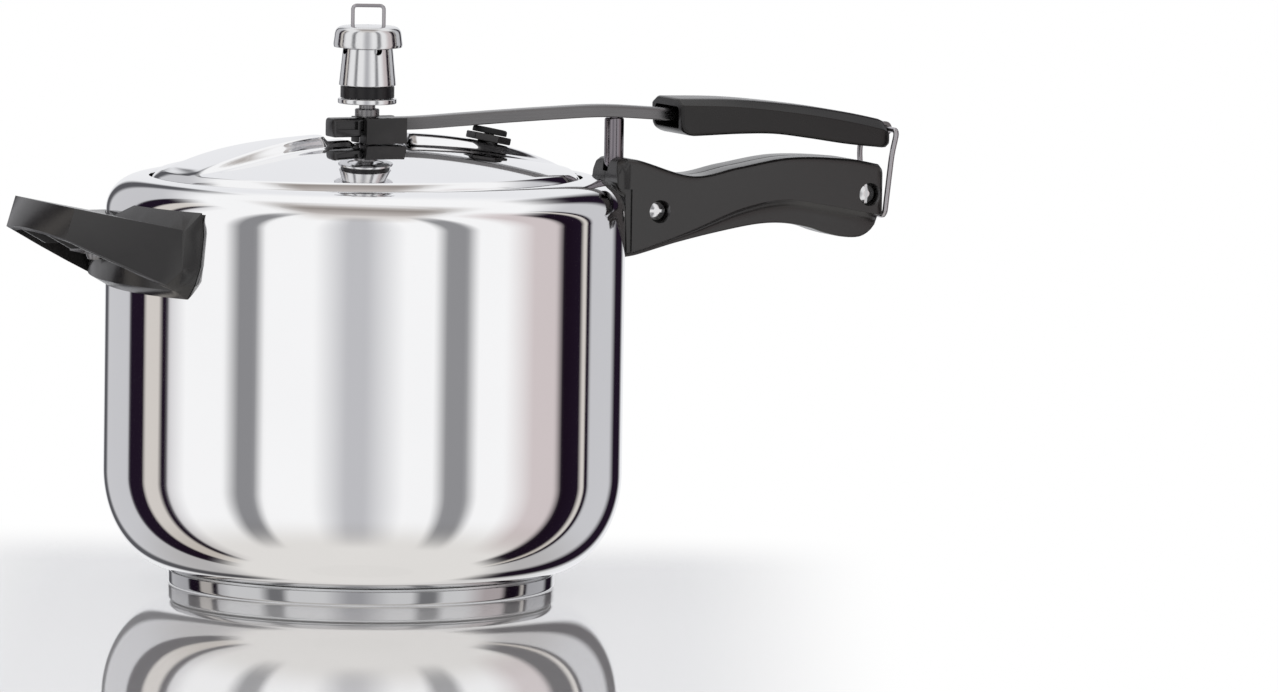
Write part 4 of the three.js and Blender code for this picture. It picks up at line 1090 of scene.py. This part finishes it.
def wireBail():
    low, high = boxOf("weight_bail")
    top = high.z - bail["wire"]
    turn = Matrix.Rotation(radians(bail["turn"]), 4, "Z")
    half = bail["half"]
    corners = [(-half, 0, low.z), (-half, 0, top), (half, 0, top), (half, 0, low.z)]
    return moved(wire("weightBail", bentPath(corners, bail["bend"]), bail["wire"]), turn)


settle(wireBail(), wireSteel, "mirror_steel", "weight", "weight_bail")
print("stage: weight")

# Locking loop

loop = {
    "wire": 1.15, "bend": 3, "split": 0.6, "gap": 0.5, "drop": 35,
    "half": (15.5, 15, 10.5),  # at the eye, at the knee and at the crossbar
    "knee": (2, 9.6),  # in from the eye and below it
}


def lockingLoop():
    lowX = handle["end"] + loop["gap"] + loop["wire"]
    top, knee, low = loop["half"]
    inset, drop = loop["knee"]
    x, z = bar["eyeX"], bar["eyeZ"]
    legs = []
    for side in (1, -1):
        legs.append([
            (x, side * loop["split"], z), (x, side * top, z),
            (x - inset, side * knee, z - drop), (lowX, side * low, z - loop["drop"]),
        ])
    return wire("lockingLoop", bentPath(legs[0] + legs[1][::-1], loop["bend"]), loop["wire"])


settle(lockingLoop(), wireSteel, "dark_steel", "loop", "locking_loop")
print("stage: locking loop")

# Stage, light and camera

camera = {
    "pixels": (1278, 692), "perMetre": 2490, "base": (361, 583), "yaw": -25, "pitch": 5.5, "roll": 0.88,
    "distance": 4.5,
}
# strips of a studio drum round the stage, and softer low bands on it: where the vessel mirrors their
# edges, as a share of its half-width across the picture, and their colour
ink = (0.014, 0.008, 0.018)
grey = (0.6, 0.6, 0.62)
cream = (0.68, 0.64, 0.6)
white = (1, 1, 1)
lilac = (0.86, 0.865, 0.885)
beige = (0.8, 0.78, 0.75)
strips = [
    (-1, -0.996, lilac), (-0.993, -0.984, (0.1, 0.1, 0.11)), (-0.976, -0.896, grey), (-0.888, -0.837, ink),
    (-0.826, -0.773, cream), (-0.765, -0.745, ink), (-0.733, -0.73, (0.72, 0.71, 0.72)), (-0.67, 0.74, white),
    (0.769, 0.834, ink), (0.842, 0.852, cream), (0.858, 0.865, ink), (0.874, 0.95, grey), (0.966, 0.986, ink),
    (0.994, 1, lilac),
]
bands = [
    (-1, -0.525, white), (-0.465, -0.405, (0.27, 0.27, 0.28)), (-0.365, -0.18, white),
    (-0.05, 0.02, (0.55, 0.55, 0.57)), (0.17, 0.28, white), (0.33, 0.4, (0.29, 0.29, 0.3)),
    (0.45, 0.55, white), (0.66, 0.76, (0.66, 0.59, 0.59)), (0.84, 1, white),
]
# the bands and strips fade between these heights
drum = {
    "radius": 600, "low": -2600, "height": 1900, "sides": 256,
    "bandTop": (650, 1600), "bandEnd": (-260, -760), "stripTop": (560, 910), "stripEnd": (-640, -1050),
}
# colour of the room above the front, by its angle there as a share of a half turn
room = [
    (0.22, white), (0.29, (0.86, 0.84, 0.82)), (0.37, (0.72, 0.69, 0.67)), (0.45, (0.52, 0.48, 0.46)),
    (0.535, (0.32, 0.29, 0.27)), (0.575, (0.5, 0.47, 0.45)), (0.63, white),
]
# where that colour fades, as parts of a direction of length 1
roomEdge = {"side": (0.2, 0.44), "above": (0.3, 0.55), "below": (-0.5, -0.8)}
roomLight = 0.98


def drumTurn(share):
    # angle round the drum, from the camera, of what the vessel mirrors at this share of its half-width
    face = asin(share)
    start = Vector((cos(face), sin(face))) * bodyRadius
    way = Vector((cos(2 * face), sin(2 * face)))
    reach = -start.dot(way) + sqrt(start.dot(way) ** 2 + drum["radius"] ** 2 - bodyRadius ** 2)
    spot = start + way * reach
    return atan2(spot.y, spot.x)


def colorRamp(tree, dial, stops):
    ramp = addNode(tree, "ShaderNodeValToRGB", {"Fac": dial})
    marks = ramp.color_ramp.elements
    for mark, (where, color) in zip(marks, (stops[0], stops[-1])):
        mark.position = where
        mark.color = (*color, 1)
    for where, color in stops[1:-1]:
        marks.new(where).color = (*color, 1)
    return ramp.outputs["Color"]


def drumRamp(tree, dial, panels):
    edges = [(edge, color) for start, end, color in panels for edge in (start, end)][1:-1]
    return colorRamp(tree, dial, [(0.5 + drumTurn(edge) / (2 * pi), color) for edge, color in edges])


def faced(tree, vector, turn):
    # turned so that one axis looks at the photo's camera
    angle = radians(turn - camera["yaw"])
    return flow(tree, "ShaderNodeMapping", {"Vector": vector}, {"Rotation": (0, 0, angle)})


def roomColor(tree, way):
    # the room is warmer and darker high above the front
    plain = flow(tree, "ShaderNodeVectorMath", {0: faced(tree, way, 90)}, operation="NORMALIZE")
    parts = split(tree, plain)
    angle = sums(tree, "ARCTAN2", parts["Z"], parts["X"])
    tone = colorRamp(tree, sums(tree, "DIVIDE", angle, pi), room)
    middle = smooth(tree, sums(tree, "ABSOLUTE", parts["Y"]), *roomEdge["side"], 1, 0)
    share = times(tree, middle, smooth(tree, parts["Z"], *roomEdge["above"]))
    upper = blend(tree, share, white, tone)
    return blend(tree, smooth(tree, parts["Z"], *roomEdge["below"]), upper, beige)


def drumColor(tree):
    # colour of the strips and bands, by the direction from the vessel's axis and the height
    place = objectPlace(tree)
    front = faced(tree, place, 90)
    dial = addNode(tree, "ShaderNodeTexGradient", {"Vector": front}, gradient_type="RADIAL").outputs["Fac"]
    parts = split(tree, place)
    height = sums(tree, "DIVIDE", parts["Z"], mm)
    under = smooth(tree, height, *drum["bandTop"], 1, 0)
    shown = times(tree, under, smooth(tree, height, *drum["bandEnd"], 1, 0))
    tall = blend(tree, smooth(tree, height, *drum["stripTop"]), drumRamp(tree, dial, strips), white)
    both = blend(tree, shown, tall, drumRamp(tree, dial, bands), "MULTIPLY")
    way = flow(tree, "ShaderNodeVectorMath", {0: place}, {1: (0, 0, -lip * mm)})
    lit = blend(tree, 1, both, roomColor(tree, way), "MULTIPLY")
    return blend(tree, smooth(tree, height, *drum["stripEnd"]), lit, beige)


def drumFinish():
    made = bpy.data.materials.new("studio drum")
    made.use_nodes = True
    tree = made.node_tree
    tree.nodes.remove(tree.nodes["Principled BSDF"])
    glow = flow(tree, "ShaderNodeEmission", {"Color": drumColor(tree)})
    tree.links.new(glow, tree.nodes["Material Output"].inputs["Surface"])
    return made


def studioDrum():
    sides = drum["sides"]
    around = circle(drum["radius"], sides)
    points = [(x, y, z) for z in (drum["low"], drum["height"]) for x, y in around]
    faces = [(i, (i + 1) % sides, sides + (i + 1) % sides, sides + i) for i in range(sides)]
    wall = meshObject("studioDrum", points, faces)
    wall.data.materials.append(drumFinish())
    wall.visible_camera = False


def studioWorld():
    world = bpy.data.worlds.new("studio")
    world.use_nodes = True
    tree = world.node_tree
    light = tree.nodes["Background"]
    place = tree.nodes.new("ShaderNodeTexCoord")
    tree.links.new(roomColor(tree, place.outputs["Generated"]), light.inputs["Color"])
    light.inputs["Strength"].default_value = roomLight
    backdrop = tree.nodes.new("ShaderNodeBackground")
    backdrop.inputs["Color"].default_value = (1, 1, 1, 1)
    rays = tree.nodes.new("ShaderNodeLightPath")
    choose = flow(tree, "ShaderNodeMixShader", {
        0: rays.outputs["Is Camera Ray"], 1: light.outputs[0], 2: backdrop.outputs[0],
    })
    tree.links.new(choose, tree.nodes["World Output"].inputs["Surface"])
    scene.world = world


floor = {
    "radius": 9000, "sides": 64, "drop": 0.2, "mirror": 0.74,
    "side": (0.118, 0.215), "front": (-0.6, -0.42), "back": (0.06, 0.2),  # fades of the sheen, in metres
}


def floorFinish():
    made, tree, shader = newFinish("floor", (0.92, 0.92, 0.92), 0, 0.5)
    clouds = grain(tree, 6)
    tree.links.new(blend(tree, clouds, (0.9, 0.9, 0.9), (0.94, 0.94, 0.94)), shader.inputs["Base Color"])
    rays = tree.nodes.new("ShaderNodeLightPath")
    sheen = tree.nodes.new("ShaderNodeBsdfGlossy")
    sheen.inputs["Color"].default_value = (0.97, 0.97, 0.97, 1)
    sheen.inputs["Roughness"].default_value = 0.02
    polish = flow(
        tree, "ShaderNodeMixShader", {1: shader.outputs[0], 2: sheen.outputs[0]}, {0: floor["mirror"]}
    )
    parts = split(tree, faced(tree, objectPlace(tree), 0))
    wide = smooth(tree, sums(tree, "ABSOLUTE", parts["X"]), *floor["side"], 1, 0)
    long = times(
        tree, smooth(tree, parts["Y"], *floor["front"]),
        smooth(tree, parts["Y"], *floor["back"], 1, 0),
    )
    fade = sums(tree, "SUBTRACT", 1, times(tree, wide, long))
    plain = tree.nodes.new("ShaderNodeEmission")
    share = times(tree, fade, rays.outputs["Is Camera Ray"])
    choose = flow(tree, "ShaderNodeMixShader", {0: share, 1: polish, 2: plain.outputs[0]})
    tree.links.new(choose, tree.nodes["Material Output"].inputs["Surface"])
    return made


def floorDisc():
    sides = floor["sides"]
    points = [(x, y, -floor["drop"]) for x, y in circle(floor["radius"], sides)]
    disc = meshObject("floor", points, [tuple(range(sides))])
    disc.data.materials.append(floorFinish())
    disc.visible_glossy = False  # the steel mirrors the drum, which runs on below the floor


def makeCamera():
    data = bpy.data.cameras.new("camera")
    eye = linked("camera", data)
    a = radians(camera["yaw"])
    e = radians(camera["pitch"])
    back = Vector((sin(a) * cos(e), -cos(a) * cos(e), sin(e)))
    roll = Matrix.Rotation(radians(camera["roll"]), 3, "Z")
    turn = (-back).to_track_quat("-Z", "Y").to_matrix() @ roll
    right = turn @ Vector((1, 0, 0))
    up = turn @ Vector((0, 1, 0))
    wide, high = camera["pixels"]
    across = (wide / 2 - camera["base"][0]) / camera["perMetre"]
    rise = (camera["base"][1] - high / 2) / camera["perMetre"]
    where = right * across + up * rise + back * camera["distance"]
    eye.matrix_world = Matrix.Translation(where) @ turn.to_4x4()
    data.sensor_fit = "HORIZONTAL"
    data.angle = 2 * atan(wide / 2 / camera["perMetre"] / camera["distance"])
    data.clip_end = 50
    scene.camera = eye


studioWorld()
studioDrum()
floorDisc()
makeCamera()
scene.view_settings.view_transform = "Standard"
bpy.context.view_layer.update()
print("stage: camera and light")
